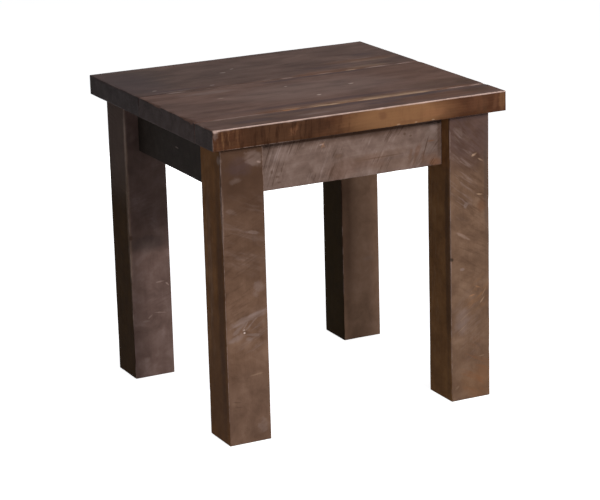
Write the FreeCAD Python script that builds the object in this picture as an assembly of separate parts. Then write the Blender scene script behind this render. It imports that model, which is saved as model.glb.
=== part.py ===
# Rustic end table: a top of three sawn planks on four square posts, with
# recessed aprons tenoned into the posts, corner braces and wooden buttons.
# Millimetres, +Z up, front towards -Y, origin on the floor under the centre.
import FreeCAD, Part
import math
import os

Vec = FreeCAD.Vector

# Overall size
TABLE_HEIGHT = 610.0
TOP_LENGTH = 610.0
TOP_DEPTH = 580.0
TOP_THICKNESS = 39.0

# Planks of the top: they run along X, and the back one takes what is left
FRONT_PLANK_WIDTH = 78.0
MIDDLE_PLANK_WIDTH = 255.0
SEAM_BEVEL = 2.5
TOP_ARRIS_ROUND = 1.5

# Loose splines in the joints of the planks
SPLINE_THICKNESS = 6.0
SPLINE_WIDTH = 24.0
SPLINE_END_STOP = 40.0

# Legs
LEG_SIDE = 86.0
TOP_OVERHANG = 24.0
LEG_ARRIS_ROUND = 1.5
FOOT_BEVEL = 2.0

# Aprons and their mitred tenons
APRON_HEIGHT = 101.0
APRON_THICKNESS = 22.0
APRON_RECESS = 29.0
APRON_ARRIS_ROUND = 1.5
TENON_THICKNESS = 10.0
TENON_TOP_SHOULDER = 15.0
TENON_BOTTOM_SHOULDER = 10.0

# Wooden buttons, and the groove inside the aprons that takes their tongues
BUTTON_LENGTH = 34.0
BUTTON_WIDTH = 36.0
BUTTON_BEVEL = 3.0
TONGUE_THICKNESS = 9.0
TONGUE_LENGTH = 7.5
GROOVE_DROP = 12.0
BUTTON_PLACE_SHARES = (-0.27, 0.27)

# Diagonal corner braces
BRACE_THICKNESS = 30.0
BRACE_HEIGHT = 64.0
BRACE_DROP = 14.0
BRACE_SCREW_SHARES = (0.25, 0.75)
BRACE_GRIP_SHARE = 0.55

# Round-headed wood screws with a crossed recess
SHANK_RADIUS = 2.1
SHANK_TIP_LENGTH = 4.0
HEAD_RADIUS = 4.2
HEAD_HEIGHT = 2.7
HEAD_ROUND = 1.2
RECESS_LENGTH = 4.6
RECESS_WIDTH = 1.1
RECESS_DEPTH = 1.5
APRON_BITE_SHARE = 0.6
WOOD_ABOVE_SCREW = 3.0

# Clearances
GLUE_GAP = 0.1
TENON_END_GAP = 1.0
SPLINE_EDGE_GAP = 0.5
BRACE_LEG_GAP = 0.8
BUTTON_APRON_GAP = 1.0
TONGUE_TIP_GAP = 1.5
TONGUE_PLAY = 1.0
HEAD_POCKET_GAP = 0.8
PILOT_END_GAP = 0.8
CUT_OVERRUN = 5.0

# Heights
LEG_TOP = TABLE_HEIGHT - TOP_THICKNESS
TOP_MIDDLE = LEG_TOP + TOP_THICKNESS / 2
APRON_BOTTOM = LEG_TOP - APRON_HEIGHT
TENON_BOTTOM = APRON_BOTTOM + TENON_BOTTOM_SHOULDER
TENON_TOP = LEG_TOP - TENON_TOP_SHOULDER
GROOVE_TOP = LEG_TOP - GROOVE_DROP
BUTTON_BOTTOM = GROOVE_TOP - TONGUE_THICKNESS
BRACE_TOP = LEG_TOP - BRACE_DROP
BRACE_BOTTOM = BRACE_TOP - BRACE_HEIGHT

# Distances from the centre, along X and along Y
HALF_LENGTH = TOP_LENGTH / 2
HALF_DEPTH = TOP_DEPTH / 2
LEG_OUTER_X = HALF_LENGTH - TOP_OVERHANG
LEG_OUTER_Y = HALF_DEPTH - TOP_OVERHANG
LEG_INNER_X = LEG_OUTER_X - LEG_SIDE
LEG_INNER_Y = LEG_OUTER_Y - LEG_SIDE
APRON_OUTER_X = LEG_OUTER_X - APRON_RECESS
APRON_OUTER_Y = LEG_OUTER_Y - APRON_RECESS
APRON_INNER_X = APRON_OUTER_X - APRON_THICKNESS
APRON_INNER_Y = APRON_OUTER_Y - APRON_THICKNESS
APRON_CENTRE_X = APRON_OUTER_X - APRON_THICKNESS / 2
APRON_CENTRE_Y = APRON_OUTER_Y - APRON_THICKNESS / 2

# Joints of the planks, counted from the front edge
FRONT_SEAM = -HALF_DEPTH + FRONT_PLANK_WIDTH
BACK_SEAM = FRONT_SEAM + MIDDLE_PLANK_WIDTH

# A brace lies between two diagonal lines, on each of which |x| + |y| is the same
BRACE_OUTER_LINE = LEG_INNER_X + LEG_INNER_Y - BRACE_LEG_GAP * math.sqrt(2)
BRACE_INNER_LINE = BRACE_OUTER_LINE - BRACE_THICKNESS * math.sqrt(2)
BRACE_MIDDLE_LINE = (BRACE_OUTER_LINE + BRACE_INNER_LINE) / 2

# Screw lengths: through what the head bears on, and into the wood behind it
BRACE_GRIP = BRACE_GRIP_SHARE * BRACE_THICKNESS * math.sqrt(2) / 2
APRON_BITE = APRON_BITE_SHARE * APRON_THICKNESS
TOP_BITE = (TOP_THICKNESS - SPLINE_THICKNESS) / 2 - WOOD_ABOVE_SCREW
BUTTON_GRIP = LEG_TOP - BUTTON_BOTTOM

# Signs of X and Y at each corner
CORNERS = {
    "front_left": (-1, -1),
    "front_right": (1, -1),
    "back_left": (-1, 1),
    "back_right": (1, 1),
}

X_NORMAL = Vec(1, 0, 0)
Y_NORMAL = Vec(0, 1, 0)
Z_NORMAL = Vec(0, 0, 1)
DIAGONAL_NORMAL = Vec(1, -1, 0)
CENTRE = Vec(0, 0, 0)


# Helpers
def box(x0, x1, y0, y1, z0, z1):
    """A block between two limits on each axis."""
    return Part.makeBox(x1 - x0, y1 - y0, z1 - z0, Vec(x0, y0, z0))


def prism(points, travel):
    """A flat outline, swept straight along travel."""
    outline = Part.makePolygon(points + [points[0]])
    return Part.Face(outline).extrude(travel)


def edges_along(shape, axis, keep):
    """The straight edges parallel to axis whose middle passes the test."""
    found = []
    for edge in shape.Edges:
        first, last = edge.Vertexes[0].Point, edge.Vertexes[-1].Point
        run = last - first
        if run.Length > 0 and abs(run.dot(axis)) > run.Length * math.cos(math.radians(1)):
            if keep((first + last) / 2):
                found.append(edge)
    return found


def swap_xy(shape):
    """Turn a piece made for the back apron into one for the right apron."""
    return shape.mirror(CENTRE, DIAGONAL_NORMAL)


def to_corner(shape, sign_x, sign_y):
    """Mirror a piece made at the back right corner to another corner."""
    if sign_x < 0:
        shape = shape.mirror(CENTRE, X_NORMAL)
    if sign_y < 0:
        shape = shape.mirror(CENTRE, Y_NORMAL)
    return shape


def drill(shape, holes):
    """Cut every hole that reaches the piece."""
    for hole in holes:
        if shape.BoundBox.intersect(hole.BoundBox):
            shape = shape.cut(hole)
    return shape


# Screws: the head bears on z = 0 and the point is upwards
def wood_screw(length):
    """A round head with a crossed recess over a plain pointed shank."""
    outline = Part.Wire([
        Part.makeLine(Vec(0, 0, length), Vec(0, 0, -HEAD_HEIGHT)),
        Part.makeLine(Vec(0, 0, -HEAD_HEIGHT), Vec(HEAD_RADIUS - HEAD_ROUND, 0, -HEAD_HEIGHT)),
        Part.Arc(
            Vec(HEAD_RADIUS - HEAD_ROUND, 0, -HEAD_HEIGHT),
            Vec(
                HEAD_RADIUS - HEAD_ROUND + HEAD_ROUND * math.sin(math.radians(45)),
                0,
                -HEAD_HEIGHT + HEAD_ROUND - HEAD_ROUND * math.cos(math.radians(45)),
            ),
            Vec(HEAD_RADIUS, 0, -HEAD_HEIGHT + HEAD_ROUND),
        ).toShape(),
        Part.makeLine(Vec(HEAD_RADIUS, 0, -HEAD_HEIGHT + HEAD_ROUND), Vec(HEAD_RADIUS, 0, 0)),
        Part.makeLine(Vec(HEAD_RADIUS, 0, 0), Vec(SHANK_RADIUS, 0, 0)),
        Part.makeLine(Vec(SHANK_RADIUS, 0, 0), Vec(SHANK_RADIUS, 0, length - SHANK_TIP_LENGTH)),
        Part.makeLine(Vec(SHANK_RADIUS, 0, length - SHANK_TIP_LENGTH), Vec(0, 0, length)),
    ])
    screw = Part.Face(outline).revolve(CENTRE, Z_NORMAL, 360)
    slot = box(
        -RECESS_LENGTH / 2, RECESS_LENGTH / 2,
        -RECESS_WIDTH / 2, RECESS_WIDTH / 2,
        -HEAD_HEIGHT - CUT_OVERRUN, -HEAD_HEIGHT + RECESS_DEPTH,
    )
    return screw.cut(slot).cut(swap_xy(slot))


def screw_hole(length):
    """The room that a screw of this length takes beyond its head."""
    return Part.makeCylinder(SHANK_RADIUS + GLUE_GAP, length + PILOT_END_GAP)


def head_pocket():
    """The flat-bottomed pocket that lets a brace screw's head in."""
    start = Vec(0, 0, -BRACE_THICKNESS)
    return Part.makeCylinder(HEAD_RADIUS + HEAD_POCKET_GAP, BRACE_THICKNESS, start)


def lay_into_apron(shape, along, height):
    """Turn a screw, hole or pocket to point into the back apron's inner face."""
    shape = shape.copy()
    shape.rotate(CENTRE, X_NORMAL, -90)
    shape.translate(Vec(along, APRON_INNER_Y - BRACE_GRIP, height))
    return shape


def at_brace_screws(shape):
    """Copies of a shape at the four screws of the back right brace."""
    copies = []
    for share in BRACE_SCREW_SHARES:
        height = BRACE_BOTTOM + share * BRACE_HEIGHT
        copies.append(lay_into_apron(shape, BRACE_MIDDLE_LINE - APRON_INNER_Y, height))
        sideways = lay_into_apron(shape, 0, height)
        sideways.translate(Vec(BRACE_MIDDLE_LINE - APRON_INNER_X, APRON_INNER_X - APRON_INNER_Y, 0))
        copies.append(swap_xy(sideways))
    return copies


def at_every_brace_screw(shape):
    """Copies of a shape at all the brace screws of the table."""
    copies = []
    for signs in CORNERS.values():
        copies += [to_corner(piece, *signs) for piece in at_brace_screws(shape)]
    return copies


# Buttons: two to an apron, each made as for the back apron and then placed
def button(along, apron_inner):
    """A block under the top whose tongue reaches into the apron's groove."""
    near = apron_inner - BUTTON_APRON_GAP
    far = near - BUTTON_LENGTH
    tip = apron_inner + TONGUE_LENGTH
    left = along - BUTTON_WIDTH / 2
    block = prism(
        [
            Vec(left, tip, GROOVE_TOP),
            Vec(left, near, GROOVE_TOP),
            Vec(left, near, LEG_TOP),
            Vec(left, far, LEG_TOP),
            Vec(left, far, BUTTON_BOTTOM + BUTTON_BEVEL),
            Vec(left, far + BUTTON_BEVEL, BUTTON_BOTTOM),
            Vec(left, tip, BUTTON_BOTTOM),
        ],
        Vec(BUTTON_WIDTH, 0, 0),
    )
    return block.cut(at_button_screw(screw_hole(BUTTON_GRIP))(along, apron_inner))


def at_button_screw(shape):
    """A maker that sets a copy of an upright shape at the middle of a button."""
    def place(along, apron_inner):
        middle = apron_inner - BUTTON_APRON_GAP - BUTTON_LENGTH / 2
        copy = shape.copy()
        copy.translate(Vec(along, middle, BUTTON_BOTTOM))
        return copy
    return place


def at_every_button(make):
    """What make gives for each of the eight buttons, by the button's name."""
    made = {}
    for share, across, deep in zip(BUTTON_PLACE_SHARES, ("left", "right"), ("front", "back")):
        clear_run = 2 * (BRACE_INNER_LINE - APRON_INNER_Y)
        piece = make(share * clear_run, APRON_INNER_Y)
        made["back_" + across] = piece
        made["front_" + across] = piece.mirror(CENTRE, Y_NORMAL)
        clear_run = 2 * (BRACE_INNER_LINE - APRON_INNER_X)
        piece = swap_xy(make(share * clear_run, APRON_INNER_X))
        made["right_" + deep] = piece
        made["left_" + deep] = piece.mirror(CENTRE, X_NORMAL)
    return made


# The top
def plank(front, back, bevel_front, bevel_back):
    """One plank of the top, with its upper arrises bevelled where it meets another."""
    outline = [
        Vec(-HALF_LENGTH, front, LEG_TOP),
        Vec(-HALF_LENGTH, front, TABLE_HEIGHT - bevel_front),
        Vec(-HALF_LENGTH, front + bevel_front, TABLE_HEIGHT),
        Vec(-HALF_LENGTH, back - bevel_back, TABLE_HEIGHT),
        Vec(-HALF_LENGTH, back, TABLE_HEIGHT - bevel_back),
        Vec(-HALF_LENGTH, back, LEG_TOP),
    ]
    corners = [point for i, point in enumerate(outline) if point != outline[i - 1]]
    return prism(corners, Vec(TOP_LENGTH, 0, 0))


def rounded_top():
    """The whole top as one slab with eased arrises, from which the planks are cut."""
    slab = box(-HALF_LENGTH, HALF_LENGTH, -HALF_DEPTH, HALF_DEPTH, LEG_TOP, TABLE_HEIGHT)
    return slab.makeFillet(TOP_ARRIS_ROUND, slab.Edges)


def spline(seam, thickness_gap, edge_gap):
    """A loose tongue across a seam, or with gaps the groove that it lies in."""
    half_run = HALF_LENGTH - SPLINE_END_STOP + edge_gap
    half_width = SPLINE_WIDTH / 2 + edge_gap
    half_thickness = SPLINE_THICKNESS / 2 + thickness_gap
    return box(
        -half_run, half_run,
        seam - half_width, seam + half_width,
        TOP_MIDDLE - half_thickness, TOP_MIDDLE + half_thickness,
    )


def planks():
    """The three planks, grooved for the splines and drilled for the screws."""
    blanks = {
        "front": plank(-HALF_DEPTH, FRONT_SEAM, 0, SEAM_BEVEL),
        "middle": plank(FRONT_SEAM, BACK_SEAM, SEAM_BEVEL, SEAM_BEVEL),
        "back": plank(BACK_SEAM, HALF_DEPTH, SEAM_BEVEL, 0),
    }
    slab = rounded_top()
    cuts = [spline(seam, GLUE_GAP, SPLINE_EDGE_GAP) for seam in (FRONT_SEAM, BACK_SEAM)]
    cuts += at_every_button(at_button_screw(screw_hole(BUTTON_GRIP + TOP_BITE))).values()
    return {name: drill(slab.common(blank), cuts) for name, blank in blanks.items()}


# Legs and aprons
def mortise(inner, cross_centre, centre):
    """The slot for a tenon that enters a leg along X at the back right corner."""
    half = TENON_THICKNESS / 2 + GLUE_GAP
    return box(
        inner - CUT_OVERRUN, cross_centre + half + TENON_END_GAP,
        centre - half, centre + half,
        TENON_BOTTOM - GLUE_GAP, TENON_TOP + GLUE_GAP,
    )


def leg():
    """The back right leg: a square post with two mortises that meet inside it."""
    block = box(LEG_INNER_X, LEG_OUTER_X, LEG_INNER_Y, LEG_OUTER_Y, 0, LEG_TOP)
    upright = edges_along(block, Z_NORMAL, lambda middle: True)
    foot = [edge for edge in block.Edges if edge.BoundBox.ZMax < FOOT_BEVEL]
    post = block.makeFillet(LEG_ARRIS_ROUND, upright).common(block.makeChamfer(FOOT_BEVEL, foot))
    post = post.cut(mortise(LEG_INNER_X, APRON_CENTRE_X, APRON_CENTRE_Y))
    return post.cut(swap_xy(mortise(LEG_INNER_Y, APRON_CENTRE_Y, APRON_CENTRE_X)))


def apron(shoulder, cross_centre, outer):
    """An apron along X at +Y: its board, its mitred tenons and the buttons' groove."""
    inner = outer - APRON_THICKNESS
    centre = outer - APRON_THICKNESS / 2
    board = box(-shoulder, shoulder, inner, outer, APRON_BOTTOM, LEG_TOP)
    low = edges_along(board, X_NORMAL, lambda middle: middle.z < APRON_BOTTOM + APRON_ARRIS_ROUND)
    board = board.makeFillet(APRON_ARRIS_ROUND, low)
    half = TENON_THICKNESS / 2
    short_reach = cross_centre - half - TENON_END_GAP
    long_reach = cross_centre + half - TENON_END_GAP
    tenons = prism(
        [
            Vec(-short_reach, centre - half, TENON_BOTTOM),
            Vec(short_reach, centre - half, TENON_BOTTOM),
            Vec(long_reach, centre + half, TENON_BOTTOM),
            Vec(-long_reach, centre + half, TENON_BOTTOM),
        ],
        Vec(0, 0, TENON_TOP - TENON_BOTTOM),
    )
    groove = box(
        -shoulder, shoulder,
        inner - CUT_OVERRUN, inner + TONGUE_LENGTH + TONGUE_TIP_GAP,
        BUTTON_BOTTOM - TONGUE_PLAY, GROOVE_TOP,
    )
    return board.fuse(tenons).cut(groove).removeSplitter()


def aprons():
    """The four aprons, drilled for the brace screws."""
    back = apron(LEG_INNER_X, APRON_CENTRE_X, APRON_OUTER_Y)
    right = swap_xy(apron(LEG_INNER_Y, APRON_CENTRE_Y, APRON_OUTER_X))
    whole = {
        "back": back,
        "front": back.mirror(CENTRE, Y_NORMAL),
        "right": right,
        "left": right.mirror(CENTRE, X_NORMAL),
    }
    holes = at_every_brace_screw(screw_hole(BRACE_GRIP + APRON_BITE))
    return {name: drill(piece, holes) for name, piece in whole.items()}


# Corner braces
def brace():
    """The back right brace: a diagonal block whose mitred ends bear on two aprons."""
    block = prism(
        [
            Vec(BRACE_OUTER_LINE - APRON_INNER_Y, APRON_INNER_Y, BRACE_BOTTOM),
            Vec(APRON_INNER_X, BRACE_OUTER_LINE - APRON_INNER_X, BRACE_BOTTOM),
            Vec(APRON_INNER_X, BRACE_INNER_LINE - APRON_INNER_X, BRACE_BOTTOM),
            Vec(BRACE_INNER_LINE - APRON_INNER_Y, APRON_INNER_Y, BRACE_BOTTOM),
        ],
        Vec(0, 0, BRACE_HEIGHT),
    )
    cuts = at_brace_screws(head_pocket()) + at_brace_screws(screw_hole(BRACE_GRIP))
    return drill(block, cuts)


def pieces():
    """Every piece of the table by its node's name."""
    made = {}
    for name, piece in planks().items():
        made["top_plank_" + name] = piece
    made["top_spline_front"] = spline(FRONT_SEAM, 0, 0)
    made["top_spline_back"] = spline(BACK_SEAM, 0, 0)
    for name, piece in aprons().items():
        made["apron_" + name] = piece
    corner_leg = leg()
    corner_brace = brace()
    for name, signs in CORNERS.items():
        made["leg_" + name] = to_corner(corner_leg, *signs)
        made["corner_brace_" + name] = to_corner(corner_brace, *signs)
    for name, piece in at_every_button(button).items():
        made["top_button_" + name] = piece
    brace_screws = at_every_brace_screw(wood_screw(BRACE_GRIP + APRON_BITE))
    button_screws = at_every_button(at_button_screw(wood_screw(BUTTON_GRIP + TOP_BITE)))
    made["brace_screws"] = Part.makeCompound(brace_screws)
    made["button_screws"] = Part.makeCompound(list(button_screws.values()))
    return made


os.makedirs("parts", exist_ok=True)
for node, shape in pieces().items():
    shape.exportStep("parts/" + node + ".step")
    print(node, len(shape.Solids), shape.isValid(), round(shape.Volume))
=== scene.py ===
# %% [markdown]
# # A rustic end table
#
# The table has a top of three sawn planks, four square posts, and four aprons that
# stand back from the posts. Braces, buttons and screws hide inside the frame.
# The measured frame is loaded first and fixes every size. Each step below models
# one kind of piece or mixes one finish, and all of it is in metres.

# %% Load the frame
import math
import bmesh
import bpy
from mathutils import Matrix, Vector, noise


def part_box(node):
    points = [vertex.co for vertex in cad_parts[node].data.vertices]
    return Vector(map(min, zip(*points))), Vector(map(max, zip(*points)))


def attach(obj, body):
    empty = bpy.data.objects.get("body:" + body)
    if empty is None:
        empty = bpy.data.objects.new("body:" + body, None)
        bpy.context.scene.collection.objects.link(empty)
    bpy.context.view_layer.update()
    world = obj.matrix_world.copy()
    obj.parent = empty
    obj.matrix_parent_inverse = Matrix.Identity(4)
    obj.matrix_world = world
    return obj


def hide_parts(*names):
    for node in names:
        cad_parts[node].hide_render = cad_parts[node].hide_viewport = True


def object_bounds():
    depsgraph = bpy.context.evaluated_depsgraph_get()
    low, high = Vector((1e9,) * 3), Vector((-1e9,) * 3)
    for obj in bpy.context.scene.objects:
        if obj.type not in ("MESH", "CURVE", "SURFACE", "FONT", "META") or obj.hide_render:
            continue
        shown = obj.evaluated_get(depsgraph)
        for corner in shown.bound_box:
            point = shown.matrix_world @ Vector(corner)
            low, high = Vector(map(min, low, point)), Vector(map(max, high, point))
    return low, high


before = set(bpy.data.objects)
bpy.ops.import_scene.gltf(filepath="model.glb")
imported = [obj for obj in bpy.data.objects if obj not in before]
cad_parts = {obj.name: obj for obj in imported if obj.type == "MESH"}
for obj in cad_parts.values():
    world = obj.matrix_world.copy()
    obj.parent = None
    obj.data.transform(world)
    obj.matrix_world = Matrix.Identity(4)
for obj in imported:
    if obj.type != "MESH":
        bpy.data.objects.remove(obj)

frame_low, frame_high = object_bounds()
print("whole table:", [round(side, 3) for side in frame_high - frame_low], "m")

# %% [markdown]
# ## The camera
#
# The table is seen from its left and a little above, with a long lens, so its
# uprights stay nearly parallel. A camera could be aimed with a Track To constraint.
# Three plain turns are used instead, because they can be read and changed one by
# one: how far it looks to the right, how far it dips, and how far it leans.

# %% Camera
LENS_MM = 143.73
CAMERA_PLACE = Vector((-2.0130, -4.0667, 1.5798))
LOOKS_RIGHT = math.radians(26.41)
DIPS = math.radians(16.07)
LEANS = math.radians(-1.57)
LEVEL = math.radians(90)

camera_data = bpy.data.cameras.new("camera")
camera_data.lens = LENS_MM
camera = bpy.data.objects.new("camera", camera_data)
bpy.context.scene.collection.objects.link(camera)
turned = Matrix.Rotation(-LOOKS_RIGHT, 4, "Z")
tipped = Matrix.Rotation(LEVEL - DIPS, 4, "X")
leaned = Matrix.Rotation(LEANS, 4, "Z")
camera.matrix_world = Matrix.Translation(CAMERA_PLACE) @ turned @ tipped @ leaned
bpy.context.scene.camera = camera
bpy.context.scene.view_settings.view_transform = "Standard"
print("camera to table:", round((CAMERA_PLACE - (frame_low + frame_high) / 2).length, 2), "m")

# %% [markdown]
# ## Helpers for shader trees
#
# Every finish below is a tree of shader nodes. Nodes could be placed by hand in the
# editor, but a few short helpers make the same trees readable as code: one adds a
# node, one fills a socket with a number or a link, and the rest do arithmetic.

# %% Shader helpers
def add_node(tree, kind, **settings):
    """A new node with its settings."""
    node = tree.nodes.new(kind)
    for name, value in settings.items():
        setattr(node, name, value)
    return node


def fill(tree, socket, value):
    """Links a socket to another one, or gives it a plain value."""
    if isinstance(value, bpy.types.NodeSocket):
        tree.links.new(value, socket)
    else:
        socket.default_value = value


def maths(tree, operation, first, second=0.0, third=0.0):
    """One Math node."""
    node = add_node(tree, "ShaderNodeMath", operation=operation)
    for socket, value in zip(node.inputs, (first, second, third)):
        fill(tree, socket, value)
    return node.outputs[0]


def vectors(tree, operation, first, second=(0, 0, 0)):
    """One Vector Math node, with the output that its operation uses."""
    node = add_node(tree, "ShaderNodeVectorMath", operation=operation)
    fill(tree, node.inputs[0], first)
    fill(tree, node.inputs[1], second)
    is_number = operation in ("DOT_PRODUCT", "LENGTH")
    return node.outputs["Value" if is_number else "Vector"]


def cloud(tree, place, scale, detail=2.0, roughness=0.5, distortion=0.0):
    """A Noise texture, from 0 to 1."""
    node = add_node(tree, "ShaderNodeTexNoise")
    fill(tree, node.inputs["Vector"], place)
    fill(tree, node.inputs["Scale"], scale)
    node.inputs["Detail"].default_value = detail
    node.inputs["Roughness"].default_value = roughness
    node.inputs["Distortion"].default_value = distortion
    return node.outputs["Fac"]


def between(tree, value, low, high):
    """0 below low, 1 above high, and a smooth rise between them."""
    node = add_node(tree, "ShaderNodeMapRange", interpolation_type="SMOOTHSTEP")
    fill(tree, node.inputs["Value"], value)
    fill(tree, node.inputs["From Min"], low)
    fill(tree, node.inputs["From Max"], high)
    return node.outputs["Result"]


def tint(tree, amount, first, second, way="MIX"):
    """Mixes two colours."""
    node = add_node(tree, "ShaderNodeMix", data_type="RGBA", blend_type=way)
    fill(tree, node.inputs["Factor"], amount)
    fill(tree, node.inputs["A"], first)
    fill(tree, node.inputs["B"], second)
    return node.outputs["Result"]


def start_group(name, inputs, outputs):
    """An empty shader group with its named sockets."""
    tree = bpy.data.node_groups.new(name, "ShaderNodeTree")
    kinds = {"number": "NodeSocketFloat", "vector": "NodeSocketVector"}
    for label, kind in inputs.items():
        tree.interface.new_socket(label, in_out="INPUT", socket_type=kinds[kind])
    for label, kind in outputs.items():
        tree.interface.new_socket(label, in_out="OUTPUT", socket_type=kinds[kind])
    taken = add_node(tree, "NodeGroupInput").outputs
    given = add_node(tree, "NodeGroupOutput").inputs
    return tree, taken, given


def use_group(tree, group, **values):
    """One use of a group in a material, with its own values."""
    node = add_node(tree, "ShaderNodeGroup", node_tree=group)
    for name, value in values.items():
        fill(tree, node.inputs[name.replace("_", " ")], value)
    return node.outputs


def start_material(name):
    """A new material with its tree, its shader and the places on its piece."""
    material = bpy.data.materials.new(name)
    material.use_nodes = True
    tree = material.node_tree
    shader = tree.nodes["Principled BSDF"]
    place = add_node(tree, "ShaderNodeTexCoord").outputs["Object"]
    return material, tree, shader, place


def raise_surface(tree, shader, height, strength, reach):
    """Turns a height into relief by one Bump node."""
    bump = add_node(tree, "ShaderNodeBump")
    bump.inputs["Strength"].default_value = strength
    bump.inputs["Distance"].default_value = reach
    fill(tree, bump.inputs["Height"], height)
    fill(tree, shader.inputs["Normal"], bump.outputs[0])

# %% [markdown]
# ## The studio
#
# A pale floor runs on into a pale surround. What the camera sees directly, in gloss
# or through glass is white, so the table stands out as in a cut-out photograph.
# A light can't do that without washing the wood out, so Light Path picks two looks:
# a white one for those rays, and a quiet grey one for the light that reaches the wood.

# %% Floor and surround
FLOOR_SIZE = 40.0
FLOOR_GLOW = 0.90
FLOOR_PALE = (0.8, 0.8, 0.8, 1)
FLOOR_BOUNCE = (0.22, 0.22, 0.23, 1)
SURROUND_WHITE = (1, 1, 1, 1)
SURROUND_QUIET = (0.098, 0.106, 0.120, 1)


def seen_rays(tree):
    """1 for rays from the camera, in gloss or through glass, and else 0."""
    path = add_node(tree, "ShaderNodeLightPath").outputs
    gloss = maths(tree, "MAXIMUM", path["Is Camera Ray"], path["Is Glossy Ray"])
    return maths(tree, "MAXIMUM", gloss, path["Is Transmission Ray"])


def mix_shaders(tree, amount, first, second):
    """One Mix Shader node."""
    node = add_node(tree, "ShaderNodeMixShader")
    for socket, value in zip(node.inputs, (amount, first, second)):
        fill(tree, socket, value)
    return node.outputs[0]


def floor_finish():
    """White where it is seen, with the table's soft shadow, and clear from below."""
    material = bpy.data.materials.new("floor")
    material.use_nodes = True
    tree = material.node_tree
    tree.nodes.clear()
    pale = add_node(tree, "ShaderNodeBsdfDiffuse")
    pale.inputs["Color"].default_value = FLOOR_PALE
    glow = add_node(tree, "ShaderNodeEmission")
    glow.inputs["Strength"].default_value = FLOOR_GLOW
    both = add_node(tree, "ShaderNodeAddShader")
    fill(tree, both.inputs[0], pale.outputs[0])
    fill(tree, both.inputs[1], glow.outputs[0])
    grey = add_node(tree, "ShaderNodeBsdfDiffuse")
    grey.inputs["Color"].default_value = FLOOR_BOUNCE
    top_side = mix_shaders(tree, seen_rays(tree), grey.outputs[0], both.outputs[0])
    clear = add_node(tree, "ShaderNodeBsdfTransparent")
    below = add_node(tree, "ShaderNodeNewGeometry").outputs["Backfacing"]
    output = add_node(tree, "ShaderNodeOutputMaterial")
    fill(tree, output.inputs["Surface"], mix_shaders(tree, below, top_side, clear.outputs[0]))
    return material


floor_mesh = bpy.data.meshes.new("floor")
floor_build = bmesh.new()
bmesh.ops.create_grid(floor_build, x_segments=1, y_segments=1, size=FLOOR_SIZE / 2)
floor_build.to_mesh(floor_mesh)
floor_build.free()
floor_mesh.materials.append(floor_finish())
floor = bpy.data.objects.new("floor", floor_mesh)
bpy.context.scene.collection.objects.link(floor)
print("floor:", FLOOR_SIZE, "m wide")

world = bpy.data.worlds.new("surround")
bpy.context.scene.world = world
world.use_nodes = True
sky = world.node_tree
sky.nodes.clear()
white = add_node(sky, "ShaderNodeBackground")
white.inputs["Color"].default_value = SURROUND_WHITE
quiet = add_node(sky, "ShaderNodeBackground")
quiet.inputs["Color"].default_value = SURROUND_QUIET
sky_output = add_node(sky, "ShaderNodeOutputWorld")
sky_mix = mix_shaders(sky, seen_rays(sky), quiet.outputs[0], white.outputs[0])
fill(sky, sky_output.inputs["Surface"], sky_mix)

# %% [markdown]
# ## Five soft lamps
#
# Shadows tell where a lamp stands. The narrow dark line below the top, and the shade
# on the upper half of the back left post, fix the height of the key: it stands in
# front, a little to the right, and looks down at about 25 degrees. One lamp from the
# right lifts the back right post, a weak one overhead lifts the top, and a small one
# near the floor lifts the left faces of the two front posts. The fifth stands low
# behind the table, and matters only when it is seen from the back.

# %% Lamps
def soft_lamp(name, place, aim, wide, tall, watts):
    """A soft box that stands at a place and faces its aim."""
    data = bpy.data.lights.new(name, "AREA")
    data.shape = "RECTANGLE"
    data.size = wide
    data.size_y = tall
    data.energy = watts
    lamp = bpy.data.objects.new(name, data)
    lamp.location = place
    lamp.rotation_euler = (place - aim).to_track_quat("Z", "Y").to_euler()
    bpy.context.scene.collection.objects.link(lamp)
    print(name, "lamp:", watts, "W from", round((place - aim).length, 2), "m")


KEY_PLACE = Vector((0.25, -2.40, 1.44))
KEY_WIDTH = 0.36
KEY_TALL = 0.26
KEY_WATTS = 41
RIGHT_PLACE = Vector((1.90, -1.30, 0.35))
RIGHT_SIDE = 0.8
RIGHT_WATTS = 22
OVER_PLACE = Vector((0, 0, 2.70))
OVER_SIDE = 1.6
OVER_WATTS = 10
FILL_PLACE = Vector((-1.05, -0.95, 0.24))
FILL_SIDE = 0.35
FILL_WATTS = 2.4
BACK_PLACE = Vector((0.80, 2.00, 0.24))
BACK_SIDE = 0.4
BACK_WATTS = 11

middle_of_table = (frame_low + frame_high) / 2
soft_lamp("key", KEY_PLACE, middle_of_table, KEY_WIDTH, KEY_TALL, KEY_WATTS)
soft_lamp("right", RIGHT_PLACE, middle_of_table, RIGHT_SIDE, RIGHT_SIDE, RIGHT_WATTS)
soft_lamp("over", OVER_PLACE, middle_of_table, OVER_SIDE, OVER_SIDE, OVER_WATTS)
fill_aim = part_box("leg_front_left")[0]
soft_lamp("fill", FILL_PLACE, fill_aim, FILL_SIDE, FILL_SIDE, FILL_WATTS)
soft_lamp("back", BACK_PLACE, middle_of_table, BACK_SIDE, BACK_SIDE, BACK_WATTS)

# %% [markdown]
# ## Blanks for sawn boards
#
# A real board starts as a blank whose arrises are eased before anything else. Here
# a cube is stretched to the board's size and bevelled. A subdivision surface could
# smooth it, but would lose the flat faces. Instead, planes score lines near the
# arrises, and the long edges between them are then subdivided into an even grid,
# so that every part of a face has points that wear can move.

# %% Blanks
GRID = 0.0035
EASED = 0.0014
EASED_SEGMENTS = 2
NEAR_ARRIS = (0.003, 0.006, 0.0095)
LONG_ENOUGH = 1.5
STRAIGHT = 0.999
LENGTH_DIGITS = 5
TINY = 1e-6
AXES = (0, 1, 2)


def axis_vector(axis, length=1.0):
    """A vector along one axis."""
    vector = Vector((0, 0, 0))
    vector[axis] = length
    return vector


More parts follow.
